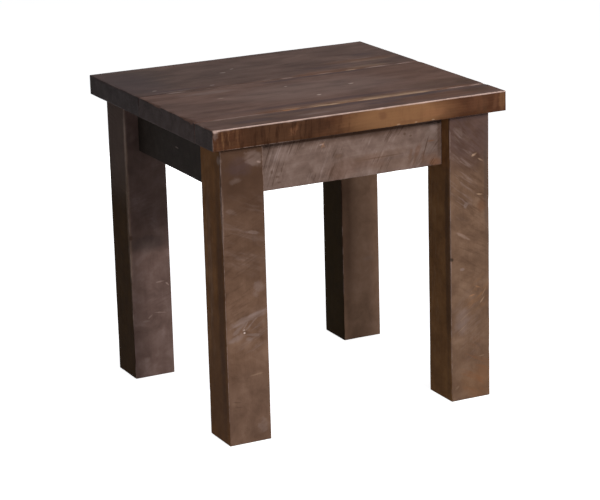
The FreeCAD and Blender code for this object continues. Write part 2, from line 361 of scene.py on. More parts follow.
def score(build, axis, place):
    """Cuts new edges where a plane square to an axis crosses the mesh."""
    everything = build.verts[:] + build.edges[:] + build.faces[:]
    bmesh.ops.bisect_plane(
        build, geom=everything, dist=TINY,
        plane_co=axis_vector(axis, place), plane_no=axis_vector(axis),
    )


def depths(place, low, high):
    """How deep a point lies behind the nearer face of the block on each axis."""
    return [min(place[i] - low[i], high[i] - place[i]) for i in AXES]


def refine(build, low, high):
    """Subdivides the long edges of the block's own faces into the grid."""
    for axis in AXES:
        rows = {}
        for edge in build.edges:
            run = edge.verts[1].co - edge.verts[0].co
            if abs(run[axis]) < max(LONG_ENOUGH * GRID, STRAIGHT * run.length):
                continue
            skin = [abs(min(depths(vert.co, low, high))) for vert in edge.verts]
            if max(skin) < EASED:
                rows.setdefault(round(run.length, LENGTH_DIGITS), []).append(edge)
        for length, edges in rows.items():
            cuts = math.ceil(length / GRID) - 1
            bmesh.ops.subdivide_edges(build, edges=edges, cuts=cuts, use_grid_fill=True)


def blank(low, high, lines):
    """An eased block between two corners, scored along its arrises and the given lines."""
    build = bmesh.new()
    bmesh.ops.create_cube(build, size=1)
    bmesh.ops.scale(build, vec=high - low, verts=build.verts[:])
    bmesh.ops.translate(build, vec=(low + high) / 2, verts=build.verts[:])
    bmesh.ops.bevel(
        build, geom=build.edges[:], offset=EASED, offset_type="OFFSET", affect="EDGES",
        segments=EASED_SEGMENTS, profile=0.5, material=-1,
    )
    for axis in AXES:
        for inset in NEAR_ARRIS:
            score(build, axis, low[axis] + inset)
            score(build, axis, high[axis] - inset)
        for place in lines.get(axis, ()):
            score(build, axis, place)
    refine(build, low, high)
    return build

# %% [markdown]
# ## Tenons, mortises and grooves
#
# The frame's joints are tenons in mortises, and the planks hold loose tongues in
# grooves. A joint could be a separate block stuck on, or a Boolean, which leaves
# untidy faces. Here a scored patch of a face is extruded: outwards it becomes a
# tenon, inwards a mortise or a groove, and the board stays one closed skin.

# %% Push and draw
def push(build, axis, level, low, high, travel):
    """Draws out, or sinks, the part of a flat side that lies between two corners."""
    chosen = []
    for face in build.faces:
        middle = face.calc_center_median()
        inside = all(low[i] < middle[i] < high[i] for i in AXES if i != axis)
        if inside and abs(middle[axis] - level) < TINY:
            chosen.append(face)
    made = bmesh.ops.extrude_face_region(build, geom=chosen)
    moved = [item for item in made["geom"] if isinstance(item, bmesh.types.BMVert)]
    bmesh.ops.delete(build, geom=chosen, context="FACES")
    bmesh.ops.translate(build, vec=axis_vector(axis, travel), verts=moved)
    return moved


def mitred(build, axis, end, low, high, gap=0.0, tip_gap=0.0):
    """Draws a mitred tenon out of one end, or with gaps sinks the mortise for it."""
    other = 1 - axis
    low = low - Vector((gap, gap, gap))
    high = high + Vector((gap, gap, gap))
    travel = high[axis] - low[axis] - 2 * gap + tip_gap
    moved = push(build, axis, end * (low[axis] + gap), low, high, end * travel)
    outer = max(abs(low[other]), abs(high[other]))
    for vert in moved:
        vert.co[axis] -= end * (outer - abs(vert.co[other]))

# %% [markdown]
# ## Places on a board
#
# Knots, dents and stains are pointed at as a maker would: on which face, how far
# across it and how far down it. One helper turns these shares into a place in space.

# %% Places on a face
FACES = {
    "front": (Vector((1, 0, 0)), Vector((0, 0, -1))),
    "back": (Vector((-1, 0, 0)), Vector((0, 0, -1))),
    "left": (Vector((0, -1, 0)), Vector((0, 0, -1))),
    "right": (Vector((0, 1, 0)), Vector((0, 0, -1))),
    "top": (Vector((1, 0, 0)), Vector((0, -1, 0))),
}


def face_place(box, face, across, down):
    """The place on a face of a box at shares of its width and height."""
    low, high = box
    right, below = FACES[face]
    inward = right.cross(below)
    toward = right + below + inward
    start = Vector([high[i] if toward[i] < 0 else low[i] for i in AXES])
    size = high - low
    return start + Vector([(right[i] * across + below[i] * down) * size[i] for i in AXES])

# %% [markdown]
# ## Wear
#
# Old boards lose their arrises unevenly: rounder where hands and knees rub, chipped
# where something hit them. A bevel can't vary along an edge, so each point near an
# arris is moved on to a rounding whose radius changes from place to place. Wood is
# only ever taken away, which also keeps the board inside its measured size.

# %% Wear on the mesh
RUB = 0.0013
RUB_SCALE = 21
RUB_LIFT = 0.25
CHIP = 0.0034
CHIP_SCALE = 75
CHIP_FROM = 0.36
WAVE = 0.0006
WAVE_SCALE = 5
ZONE_POWER = 4
SHARP_STEP = math.radians(40)


def falloff(place, centre, half):
    """1 at the centre of a small zone, and 0 outside it."""
    share = max(abs(place[i] - centre[i]) / half[i] for i in AXES)
    return max(0.0, 1.0 - share ** ZONE_POWER)


def bowl(place, centre, reach):
    """1 at the bottom of a round dent, and 0 outside it."""
    share = (place - centre).length / reach
    return max(0.0, 1.0 - share * share)


def worn_radius(place, seed, zones):
    """The rounding of an arris at a place."""
    rub = max(0.0, noise.noise(place * RUB_SCALE + seed) + RUB_LIFT)
    chip = max(0.0, noise.noise(place * CHIP_SCALE + seed) - CHIP_FROM)
    radius = EASED + RUB * rub + CHIP * chip
    for centre, half, extra in zones:
        radius += extra * falloff(place, centre, half)
    return radius


def wear(build, low, high, seed, zones=(), dents=()):
    """Rounds the arrises unevenly, presses the dents and lets the faces wander."""
    centre = (low + high) / 2
    half = (high - low) / 2
    for vert in build.verts:
        depth = depths(vert.co, low, high)
        if abs(min(depth)) > EASED:
            continue
        radius = worn_radius(vert.co, seed, zones)
        over = [max(0.0, radius - d) for d in depth]
        reach = math.sqrt(sum(o * o for o in over))
        if reach > radius:
            depth = [d if o == 0 else radius - o * radius / reach for d, o in zip(depth, over)]
        sink = WAVE * (0.5 + 0.5 * noise.noise(vert.co * WAVE_SCALE + seed))
        sink += sum(deep * bowl(vert.co, place, wide) for place, wide, deep in dents)
        side = vert.co - centre
        for i in AXES:
            depth[i] += sink * max(0.0, 1.0 - abs(depth[i]) / EASED)
            vert.co[i] = centre[i] + math.copysign(half[i] - depth[i], side[i])


def finish_mesh(build, name):
    """Makes a board of a finished build, smooth but for its sharp steps."""
    mesh = bpy.data.meshes.new(name)
    bmesh.ops.recalc_face_normals(build, faces=build.faces[:])
    closed = all(edge.is_manifold for edge in build.edges)
    print(name, len(build.faces), "faces, closed:", closed)
    build.to_mesh(mesh)
    build.free()
    mesh.shade_smooth()
    mesh.set_sharp_from_angle(angle=SHARP_STEP)
    piece = bpy.data.objects.new(name + "_worn", mesh)
    bpy.context.scene.collection.objects.link(piece)
    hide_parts(name)
    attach(piece, "root")
    return piece

# %% [markdown]
# ## Dents and nicks
#
# A few dents and nicks are big enough to cast a shadow, so they belong in the mesh.
# Each dent is a shallow bowl, and each nick is a stretch of an arris that is worn
# much rounder than the rest. The numbers are shares of a face, then metres.

# %% Dents and nicks
DENTS = {
    "top_plank_back": (
        ("top", 0.43, 0.42, 0.006, 0.0009), ("top", 0.38, 0.52, 0.008, 0.0007),
    ),
    "top_plank_middle": (
        ("top", 0.65, 0.43, 0.007, 0.0009), ("top", 0.49, 0.66, 0.006, 0.0009),
        ("top", 0.457, 0.26, 0.006, 0.0006),
    ),
    "leg_front_left": (
        ("front", 0.45, 0.62, 0.011, 0.0013), ("front", 0.87, 0.056, 0.007, 0.001),
        ("front", 0.55, 0.644, 0.008, 0.0007),
    ),
    "leg_front_right": (
        ("front", 0.62, 0.145, 0.008, 0.0014), ("front", 0.78, 0.284, 0.009, 0.001),
        ("front", 0.62, 0.62, 0.009, 0.0008), ("front", 0.4, 0.318, 0.007, 0.0006),
    ),
    "leg_back_left": (
        ("front", 0.75, 0.662, 0.008, 0.0009), ("front", 0.7, 0.77, 0.008, 0.0008),
    ),
    "apron_front": (
        ("front", 0.353, 0.299, 0.01, 0.0009), ("front", 0.434, 0.544, 0.008, 0.0008),
    ),
}
NICKS = {
    "top_plank_front": (
        ("front", 0.0, 0.0, 0.012, 0.0032), ("front", 0.62, 1.0, 0.009, 0.0016),
        ("front", 0.74, 1.0, 0.007, 0.0014),
    ),
    "leg_front_left": (
        ("front", 0.0, 0.249, 0.016, 0.0012), ("front", 0.0, 0.363, 0.009, 0.0018),
        ("left", 1.0, 0.02, 0.01, 0.0014),
    ),
    "leg_front_right": (
        ("front", 0.0, 0.496, 0.007, 0.0026), ("front", 1.0, 0.318, 0.012, 0.0014),
    ),
    "leg_back_left": (
        ("front", 0.0, 0.483, 0.01, 0.0018), ("front", 0.0, 0.643, 0.012, 0.0014),
    ),
    "apron_front": (
        ("front", 0.756, 1.0, 0.012, 0.0012),
    ),
}


print(sum(map(len, DENTS.values())), "dents and", sum(map(len, NICKS.values())), "nicks")


def dents_of(name, box):
    """The bowls of a board: their places, sizes and depths."""
    return [(face_place(box, *mark[:3]), mark[3], mark[4]) for mark in DENTS.get(name, ())]


def nicks_of(name, box):
    """The worn stretches of a board's arrises: their places, half sizes and extra radii."""
    zones = []
    for face, across, down, reach, extra in NICKS.get(name, ()):
        zones.append((face_place(box, face, across, down), Vector((reach, reach, reach)), extra))
    return zones

# %% [markdown]
# ## The planks
#
# Each plank is a blank of its own. Its edges at the seams are eased more than the
# rest, so the seams show as shallow grooves. The left end was dressed by hand: each
# stroke of the knife bit deeper towards the front and then broke off in a step.

# %% Planks
SEAM_EASE = 0.0022
SEAM_REACH = 0.012
SPLINE_GAP = 0.0004
STROKE_DEPTH_SHARE = 0.7
STROKES = ((0.13, 0.26, 0.002), (0.45, 0.60, 0.006), (0.62, 0.70, 0.0035),
           (0.72, 0.855, 0.0095), (0.87, 0.97, 0.0035))


def knife_strokes(build, low, high):
    """Takes the hand-cut strokes off the upper arris of a plank's left end."""
    deep = frame_high.y - frame_low.y
    for start, stop, width in STROKES:
        for vert in build.verts:
            share = (frame_high.y - vert.co.y) / deep
            if not start < share < stop:
                continue
            cut = width * (share - start) / (stop - start)
            inward = vert.co.x - low.x
            down = high.z - vert.co.z
            left_over = 1.0 - inward / cut - down / (cut * STROKE_DEPTH_SHARE)
            if left_over > 0:
                vert.co.x += cut * left_over / 2
                vert.co.z -= cut * STROKE_DEPTH_SHARE * left_over / 2


def make_plank(name, seed):
    """One plank of the top, with its grooves for the splines."""
    low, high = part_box(name)
    zones = nicks_of(name, (low, high))
    grooves = []
    for seam_name in ("top_spline_front", "top_spline_back"):
        spline_low, spline_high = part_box(seam_name)
        gap = Vector((SPLINE_GAP, SPLINE_GAP, SPLINE_GAP))
        for edge, way in ((low.y, spline_high.y), (high.y, spline_low.y)):
            if spline_low.y < edge < spline_high.y:
                deep = way - edge + math.copysign(SPLINE_GAP, way - edge)
                grooves.append((edge, spline_low - gap, spline_high + gap, deep))
                middle = Vector(((low.x + high.x) / 2, edge, high.z))
                half = Vector((high.x - low.x, SEAM_REACH, SEAM_REACH))
                zones.append((middle, half, SEAM_EASE))
    groove_low, groove_high = grooves[0][1:3]
    build = blank(low, high, {0: (groove_low.x, groove_high.x), 2: (groove_low.z, groove_high.z)})
    for edge, corner_low, corner_high, deep in grooves:
        push(build, 1, edge, corner_low, corner_high, deep)
    wear(build, low, high, seed, zones, dents_of(name, (low, high)))
    knife_strokes(build, low, high)
    return finish_mesh(build, name)


PLANK_SEEDS = {
    "top_plank_front": (0.0, 1.7, 0.4),
    "top_plank_middle": (3.1, 1.7, 0.4),
    "top_plank_back": (6.2, 1.7, 0.4),
}
pieces = {name: make_plank(name, Vector(seed)) for name, seed in PLANK_SEEDS.items()}

# %% [markdown]
# ## Posts and aprons
#
# The posts stand square. The aprons stand back from the posts' outer faces, and each
# ends in two mitred tenons, so that four of them can meet inside a post. On their
# inner faces runs the groove that holds the tongues of the buttons. Where all these
# lie is read from the frame, so the worn boards fit together as the plain ones do.

# %% Posts and aprons
MORTISE_GAP = 0.0001
MORTISE_END_GAP = 0.0003
BUTTON_GROOVE_LOW = 0.549
BUTTON_GROOVE_HIGH = 0.559
BUTTON_GROOVE_DEEP = 0.009
GROOVE_END = NEAR_ARRIS[0]


def tenon_of(name, axis):
    """The lowest and highest corner of an apron's tenon at its far end."""
    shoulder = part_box("leg_back_right")[0][axis]
    places = [vert.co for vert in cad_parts[name].data.vertices]
    tongue = [place for place in places if place[axis] > shoulder + TINY]
    low = Vector([min(place[i] for place in tongue) for i in AXES])
    high = Vector([max(place[i] for place in tongue) for i in AXES])
    low[axis] = shoulder
    return low, high


def make_leg(name, seed):
    """One post with its two mortises."""
    low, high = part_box(name)
    deep_side, wide_side = name.split("_")[1:]
    right = 1 if wide_side == "right" else -1
    back = 1 if deep_side == "back" else -1
    joints = (
        (0, right, tenon_of("apron_" + deep_side, 0)),
        (1, back, tenon_of("apron_" + wide_side, 1)),
    )
    lines = {axis: [] for axis in AXES}
    for axis, _, tenon in joints:
        for i in (1 - axis, 2):
            lines[i] += [tenon[0][i] - MORTISE_GAP, tenon[1][i] + MORTISE_GAP]
    build = blank(low, high, lines)
    for axis, end, tenon in joints:
        mitred(build, axis, end, *tenon, MORTISE_GAP, MORTISE_END_GAP)
    wear(build, low, high, seed, nicks_of(name, (low, high)), dents_of(name, (low, high)))
    return finish_mesh(build, name)


def board_between_posts(name, along):
    """The corners of an apron without its tenons."""
    low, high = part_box(name)
    shoulder = tenon_of(name, along)[0][along]
    low[along] = -shoulder
    high[along] = shoulder
    return low, high


def make_apron(name, along, seed):
    """One apron with its two tenons and its groove."""
    low, high = board_between_posts(name, along)
    tenon = tenon_of(name, along)
    other = 1 - along
    lines = {
        other: [tenon[0][other], tenon[1][other]],
        2: [tenon[0].z, tenon[1].z, BUTTON_GROOVE_LOW, BUTTON_GROOVE_HIGH],
    }
    build = blank(low, high, lines)
    for end in (-1, 1):
        mitred(build, along, end, *tenon)
    groove_low = low.copy()
    groove_high = high.copy()
    groove_low[along] += GROOVE_END
    groove_high[along] -= GROOVE_END
    groove_low.z = BUTTON_GROOVE_LOW
    groove_high.z = BUTTON_GROOVE_HIGH
    inner = low[other] if low[other] > 0 else high[other]
    push(build, other, inner, groove_low, groove_high, math.copysign(BUTTON_GROOVE_DEEP, inner))
    wear(build, low, high, seed, nicks_of(name, (low, high)), dents_of(name, (low, high)))
    return finish_mesh(build, name)


LEG_SEEDS = {
    "leg_front_left": (0.6, 0.0, 2.2),
    "leg_front_right": (0.6, 4.3, 2.2),
    "leg_back_left": (0.6, 8.6, 2.2),
    "leg_back_right": (0.6, 12.9, 2.2),
}
APRON_SEEDS = {
    "apron_front": (1.9, 0.2, 0.0),
    "apron_back": (1.9, 0.2, 5.7),
    "apron_left": (1.9, 0.2, 11.4),
    "apron_right": (1.9, 0.2, 17.1),
}
APRON_AXES = {"apron_front": 0, "apron_back": 0, "apron_left": 1, "apron_right": 1}

for name, seed in LEG_SEEDS.items():
    pieces[name] = make_leg(name, Vector(seed))
for name, seed in APRON_SEEDS.items():
    pieces[name] = make_apron(name, APRON_AXES[name], Vector(seed))

# %% [markdown]
# ## The figure of the wood
#
# Under the stain each board shows growth rings, fine fibres and dark pores. A Wave
# texture could draw the rings, but it repeats too evenly. Here the rings are real
# cylinders round the heart of the log, swayed by noise, and fibres and pores are
# noise drawn out along the grain. The group takes places with the grain along X.

# %% Board figure
SWAY_SCALE = 12
SWAY = 0.05
FIBRE_SCALE = 380
STREAK_SCALE = 62
PORE_SCALE = 950
PORE_FROM = 0.60
PORE_TO = 0.70
FULL_TURN = 2 * math.pi


def drawn_cloud(tree, place, along, scale, detail, roughness=0.5):
    """A Noise texture drawn out along the grain."""
    drawn = vectors(tree, "MULTIPLY", place, (along, 1, 1))
    return cloud(tree, drawn, scale, detail, roughness)


def board_figure():
    """Growth rings, fibres and pores of a board."""
    tree, taken, given = start_group(
        "board figure",
        {"Place": "vector", "Ring Width": "number"},
        {"Rings": "number", "Fibre": "number", "Streak": "number", "Pores": "number"},
    )
    place = taken["Place"]
    sway = drawn_cloud(tree, place, along=0.12, scale=SWAY_SCALE, detail=3)
    sway = maths(tree, "MULTIPLY_ADD", sway, SWAY, -SWAY / 2)
    across = vectors(tree, "MULTIPLY", place, (0, 1, 1))
    radius = maths(tree, "ADD", vectors(tree, "LENGTH", across), sway)
    turns = maths(tree, "DIVIDE", radius, taken["Ring Width"])
    wave = maths(tree, "SINE", maths(tree, "MULTIPLY", turns, FULL_TURN))
    fill(tree, given["Rings"], maths(tree, "MULTIPLY_ADD", wave, 0.5, 0.5))
    fibre = drawn_cloud(tree, place, along=0.02, scale=FIBRE_SCALE, detail=3, roughness=0.6)
    fill(tree, given["Fibre"], fibre)
    streak = drawn_cloud(tree, place, along=0.07, scale=STREAK_SCALE, detail=4, roughness=0.6)
    fill(tree, given["Streak"], streak)
    pores = drawn_cloud(tree, place, along=0.05, scale=PORE_SCALE, detail=1)
    fill(tree, given["Pores"], between(tree, pores, PORE_FROM, PORE_TO))
    return tree


FIGURE = board_figure()
print("board figure:", len(FIGURE.nodes), "nodes")

# %% [markdown]
# ## The marks of the saw
#
# The boards came off a big circular saw, and each tooth left an arc. An image of
# such marks would stretch at the corners. Rings round a far centre have the right
# curve on every face: two directions per board unroll its faces on to one plane.

# %% Saw marks
WOBBLE_SCALE = 15
COARSE_TEETH = 0.3
FINE_TEETH = 0.1
FINE_TURNS = FULL_TURN * 2.63
COMBED_LEVEL = 0.5
ARC_DRAWN = 0.03
PATCH_SCALE = 14
PATCH_RIM = 0.08


def saw_marks():
    """Arcs of a circular saw, in patches, with fine scratches along them."""
    tree, taken, given = start_group(
        "saw marks",
        {"Place": "vector", "Centre": "vector", "Across": "vector", "Along": "vector",
         "Spacing": "number", "Cover": "number", "Density": "number"},
        {"Height": "number", "Scratch": "number", "Patch": "number"},
    )
    away = vectors(tree, "SUBTRACT", taken["Place"], taken["Centre"])
    x = vectors(tree, "DOT_PRODUCT", away, taken["Across"])
    y = vectors(tree, "DOT_PRODUCT", away, taken["Along"])
    squares = maths(tree, "MULTIPLY_ADD", x, x, maths(tree, "MULTIPLY", y, y))
    radius = maths(tree, "SQRT", squares)
    swing = maths(tree, "ARCTAN2", y, x)
    wobble = cloud(tree, taken["Place"], WOBBLE_SCALE, detail=2)
    turns = maths(tree, "ADD", maths(tree, "DIVIDE", radius, taken["Spacing"]), wobble)
    combed = COMBED_LEVEL
    for turn, teeth in ((FULL_TURN, COARSE_TEETH), (FINE_TURNS, FINE_TEETH)):
        wave = maths(tree, "SINE", maths(tree, "MULTIPLY", turns, turn))
        combed = maths(tree, "MULTIPLY_ADD", wave, teeth, combed)
    path = add_node(tree, "ShaderNodeCombineXYZ")
    fill(tree, path.inputs["X"], radius)
    fill(tree, path.inputs["Y"], maths(tree, "MULTIPLY", swing, ARC_DRAWN))
    scratch = cloud(tree, path.outputs[0], taken["Density"], detail=3, roughness=0.65)
    fill(tree, given["Scratch"], scratch)
    bare = maths(tree, "SUBTRACT", 1.0, taken["Cover"])
    spread = cloud(tree, taken["Place"], PATCH_SCALE, detail=3, roughness=0.6)
    patch = between(tree, spread, bare, maths(tree, "ADD", bare, PATCH_RIM))
    fill(tree, given["Patch"], patch)
    fill(tree, given["Height"], maths(tree, "MULTIPLY", combed, patch))
    return tree


SAW = saw_marks()
print("saw marks:", len(SAW.nodes), "nodes")

# %% [markdown]
# ## Worn arrises
#
# The stain is rubbed through along the arrises and the pale wood shows. Pointiness
# would need a dense mesh and can't be exported. A board is a box, so the distance to
# its nearest arris is the second smallest of the depths behind its three faces.

# %% Arris wear
RAGGED_SCALE = 90
RAGGED_SHARE = 0.6
HELD_SCALE = 16
HELD_FROM = 0.40
HELD_TO = 0.56
WORN_RIM = 0.0004


def arris_wear():
    """A ragged mask along the arrises of a board, with gaps or without."""
    tree, taken, given = start_group(
        "arris wear",
        {"Place": "vector", "Centre": "vector", "Half": "vector", "Width": "number",
         "Gaps": "number"},
        {"Wear": "number"},
    )
    place = taken["Place"]
    side = vectors(tree, "ABSOLUTE", vectors(tree, "SUBTRACT", place, taken["Centre"]))
    depth = add_node(tree, "ShaderNodeSeparateXYZ")
    fill(tree, depth.inputs[0], vectors(tree, "SUBTRACT", taken["Half"], side))
    x, y, z = depth.outputs
    total = maths(tree, "ADD", maths(tree, "ADD", x, y), z)
    least = maths(tree, "MINIMUM", maths(tree, "MINIMUM", x, y), z)
    most = maths(tree, "MAXIMUM", maths(tree, "MAXIMUM", x, y), z)
    second = maths(tree, "SUBTRACT", maths(tree, "SUBTRACT", total, least), most)
    ragged = cloud(tree, place, RAGGED_SCALE, detail=4, roughness=0.7)
    ragged = between(tree, ragged, low=0.3, high=0.7)
    ragged = maths(tree, "MULTIPLY_ADD", ragged, RAGGED_SHARE, 1.0 - RAGGED_SHARE)
    held = cloud(tree, place, HELD_SCALE, detail=2)
    held = between(tree, held, HELD_FROM, HELD_TO)
    lost = maths(tree, "MULTIPLY", taken["Gaps"], maths(tree, "SUBTRACT", 1.0, held))
    kept = maths(tree, "SUBTRACT", 1.0, lost)
    reach = maths(tree, "MULTIPLY", taken["Width"], maths(tree, "MULTIPLY", ragged, kept))
    inner = maths(tree, "MULTIPLY", reach, 0.5)
    outer = maths(tree, "ADD", reach, WORN_RIM)
    near = maths(tree, "SUBTRACT", 1.0, between(tree, second, inner, outer))
    fill(tree, given["Wear"], maths(tree, "MULTIPLY", near, kept))
    return tree


WEAR = arris_wear()
print("arris wear:", len(WEAR.nodes), "nodes")

# %% [markdown]
# ## Marks at known places
#
# Knots, rubs, scratches and pools of stain sit where the real table has them. They
# could be painted by hand in a texture. A small mask that fades over an oval does the
# same from numbers: where it is, how long and wide it is, how it leans, and how
# ragged its rim is. It reaches only a few millimetres round an arris.

# %% Spots
SPOT_DEPTH = 0.007
SPOT_CORE = 0.35
RIM_GRAIN = 1.4
LONGEST_GRAIN = 3


def spot_mask():
    """A ragged oval mask."""
    tree, taken, given = start_group(
        "spot",
        {"Place": "vector", "Centre": "vector", "Long": "vector", "Wide": "vector",
         "Deep": "vector", "Ragged": "number", "Grain": "number"},
        {"Mask": "number"},
    )
    away = vectors(tree, "SUBTRACT", taken["Place"], taken["Centre"])
    total = 0.0
    for name in ("Long", "Wide", "Deep"):
        share = vectors(tree, "DOT_PRODUCT", away, taken[name])
        total = maths(tree, "MULTIPLY_ADD", share, share, total)
    frayed = cloud(tree, taken["Place"], taken["Grain"], detail=3, roughness=0.65)
    frayed = maths(tree, "SUBTRACT", frayed, 0.5)
    rim = maths(tree, "MULTIPLY_ADD", frayed, taken["Ragged"], maths(tree, "SQRT", total))
    faded = between(tree, rim, SPOT_CORE, 1.0)
    fill(tree, given["Mask"], maths(tree, "SUBTRACT", 1.0, faded))
    return tree


SPOT = spot_mask()
print("spot:", len(SPOT.nodes), "nodes")


def leaning(face, lean):
    """The directions along and across a mark that leans by some degrees on a face."""
    right, below = FACES[face]
    lean = math.radians(lean)
    along = right * math.cos(lean) - below * math.sin(lean)
    over = right * math.sin(lean) + below * math.cos(lean)
    return along, over


def oval(tree, place, box, lies, ways, ragged, grain):
    """The mask of one oval: how it lies on a face, and the ways of its two axes."""
    face, across, down, length, width = lies
    right, below = FACES[face]
    return use_group(
        tree, SPOT, Place=place,
        Centre=face_place(box, face, across, down),
        Long=ways[0] / (length / 2),
        Wide=ways[1] / (width / 2),
        Deep=right.cross(below) / SPOT_DEPTH,
        Ragged=ragged, Grain=grain,
    )["Mask"]


def add_spot(tree, place, colour, box, spot):
    """Mixes one spot's stain into a board's colour."""
    face, across, down, length, width, lean, stain, strength, ragged = spot
    lies = (face, across, down, length, width)
    grain = RIM_GRAIN / min(length, LONGEST_GRAIN * width)
    mask = oval(tree, place, box, lies, leaning(face, lean), ragged, grain)
    return tint(tree, maths(tree, "MULTIPLY", mask, strength), colour, (*STAINS[stain], 1))

# %% [markdown]
# ## The stained finish
#
# The eight boards of the frame and the three planks of the top share one finish: raw
# figure, a dark stain that pools in blotches, the board's own marks, some of them
# painted shade, saw marks that catch the light, and arrises rubbed pale, with a painted
# highlight along the front of the top. One material for all would make them twins, so
# each board gets its own from the same recipe. Its ground comes first.

# %% The ground colour
TONE_LOW = 0.33
TONE_MIDDLE = 0.50
TONE_HIGH = 0.67
NOISE_APART = 9
PATCHES = (("pools", "deep", 7, 0.52), ("thin", "light", 17, 0.55))
PATCH_FULL = 0.74


def stained_colour(tree, place, figure, look):
    """The ground colour: figure, mottle and pools of stain."""
    moved = vectors(tree, "ADD", place, look["heart"] * NOISE_APART)
    laid_out = vectors(tree, "MULTIPLY", moved, look["mottle_draw"])
    mottle = cloud(tree, laid_out, look["mottle_scale"], detail=4, roughness=0.62, distortion=0.3)
    tone = 0.0
    for part, share in ((figure["Fibre"], look["fibre"]), (figure["Streak"], look["streak"]),
                        (mottle, look["mottle"]), (figure["Rings"], look["rings"])):
        tone = maths(tree, "ADD", tone, maths(tree, "MULTIPLY_ADD", part, share, -0.5 * share))
    tone = maths(tree, "ADD", tone, TONE_MIDDLE)
    ramp = add_node(tree, "ShaderNodeValToRGB")
    fill(tree, ramp.inputs[0], tone)
    stops = ramp.color_ramp.elements
    stops[0].position = TONE_LOW
    stops[0].color = (*look["deep"], 1)
    stops[1].position = TONE_HIGH
    stops[1].color = (*look["light"], 1)
    stops.new(TONE_MIDDLE).color = (*look["mid"], 1)
    colour = ramp.outputs["Color"]
    for amount, stain, scale, low in PATCHES:
        patch = cloud(tree, moved, scale, detail=3, roughness=0.6)
        patch = between(tree, patch, low, PATCH_FULL)
        patch = maths(tree, "MULTIPLY", patch, look[amount])
        colour = tint(tree, patch, colour, (*look[stain], 1))
    return colour, tone

# %% [markdown]
# ## Toned and shaded faces, and saw scratches
#
# A post looks different from each side. Part of this is painted shade: the left faces
# of the back posts and the left ends of the planks are darkened where they lie in
# shade. The left faces of the front posts are made lighter and warmer, and the front
# edge of the top takes a warmer stain. A material for each face would end in a hard
# line at the arris. Here the way the surface faces decides how much of a face's own
# tone and painted shade it gets. The crests that the saw left are pale, and its thin
# scratches are partly pale and partly filled.

# %% Toned and shaded faces, and saw scratches
FACING_FROM = 0.55
FACING_TO = 0.90
SCRAPED = (1.38, 1.46, 1.54)
FILLED = (0.62, 0.58, 0.54)
SCRATCHES = ((0.565, 0.63, SCRAPED), (0.435, 0.37, FILLED))


def normal_of(tree):
    """The way a surface faces."""
    return add_node(tree, "ShaderNodeTexCoord").outputs["Normal"]


def tone_and_shade_sides(tree, colour, look):
    """Gives single faces of the board their own tone, and some of them painted shade."""
    normal = normal_of(tree)
    for face, gain in look["side_tone_and_shade"].items():
        right, below = FACES[face]
        facing = vectors(tree, "DOT_PRODUCT", normal, below.cross(right))
        facing = between(tree, facing, FACING_FROM, FACING_TO)
        colour = tint(tree, facing, colour, (*gain, 1), "MULTIPLY")
    return colour


def sawn(tree, colour, saw, look):
    """Adds the pale crests of the saw marks and their dark and pale scratches."""
    lit = maths(tree, "MULTIPLY", saw["Height"], look["saw_pale"])
    colour = tint(tree, lit, colour, (*SCRAPED, 1), "MULTIPLY")
    within = maths(tree, "MULTIPLY", saw["Patch"], look["scratch"])
    for low, high, gain in SCRATCHES:
        line = between(tree, saw["Scratch"], low, high)
        line = maths(tree, "MULTIPLY", line, within)
        colour = tint(tree, line, colour, (*gain, 1), "MULTIPLY")
    return colour

# %% [markdown]
# ## Strokes of stain
#
# In places the stain lies in strokes that all lean one way. Each could be an oval of
# its own, but there are too many of them. One noise that is drawn out along the lean
# and kept inside a ragged oval gives a whole field of strokes.

# %% Strokes of stain
STROKE_DRAWN = 0.16
STROKE_FINER = 4
STROKE_RAGGED = 0.8
STROKE_GRAIN = 40


def add_strokes(tree, place, colour, box, region):
    """Uneven strokes of stain that all lean one way, within an oval region of a face."""
    face, across, down, wide, tall, lean, scale, stain, strength = region
    along, over = leaning(face, lean)
    run = add_node(tree, "ShaderNodeCombineXYZ")
    drawn = maths(tree, "MULTIPLY", vectors(tree, "DOT_PRODUCT", place, along), STROKE_DRAWN)
    fill(tree, run.inputs["X"], drawn)
    fill(tree, run.inputs["Y"], vectors(tree, "DOT_PRODUCT", place, over))
    broad = cloud(tree, run.outputs[0], scale, detail=3, roughness=0.6)
    broad = between(tree, broad, low=0.46, high=0.62)
    fine = cloud(tree, run.outputs[0], STROKE_FINER * scale, detail=2, roughness=0.6)
    fine = between(tree, fine, low=0.40, high=0.66)
    fine = maths(tree, "MULTIPLY_ADD", fine, 0.5, 0.5)
    streaks = maths(tree, "MULTIPLY", broad, fine)
    lies = (face, across, down, wide, tall)
    inside = oval(tree, place, box, lies, FACES[face], STROKE_RAGGED, STROKE_GRAIN)
    share = maths(tree, "MULTIPLY", maths(tree, "MULTIPLY", streaks, inside), strength)
    return tint(tree, share, colour, (*STAINS[stain], 1))

# %% [markdown]
# ## Rubbed places and a painted highlight
#
# Hands and cloths rub the stain off the arrises, but hardly ever from below. Such
# places could be painted by hand. Here the mask of the arrises fades out on surfaces
# that look down. Where the look gives a way, a second mask lightens all that faces
# that way, such as the rounding along the front of the top: partly rubbed wood and
# partly a painted highlight where that rounding faces the key lamp.

# %% Rubbed places and a painted highlight
SHADED_FROM = -0.20
SHADED_TO = -0.03
HIGHLIGHT_FROM = 0.70
HIGHLIGHT_TO = 0.90
HIGHLIGHT_SCALE = 60
HIGHLIGHT_SPREAD = 1.2
HIGHLIGHT_LEAST = 0.25


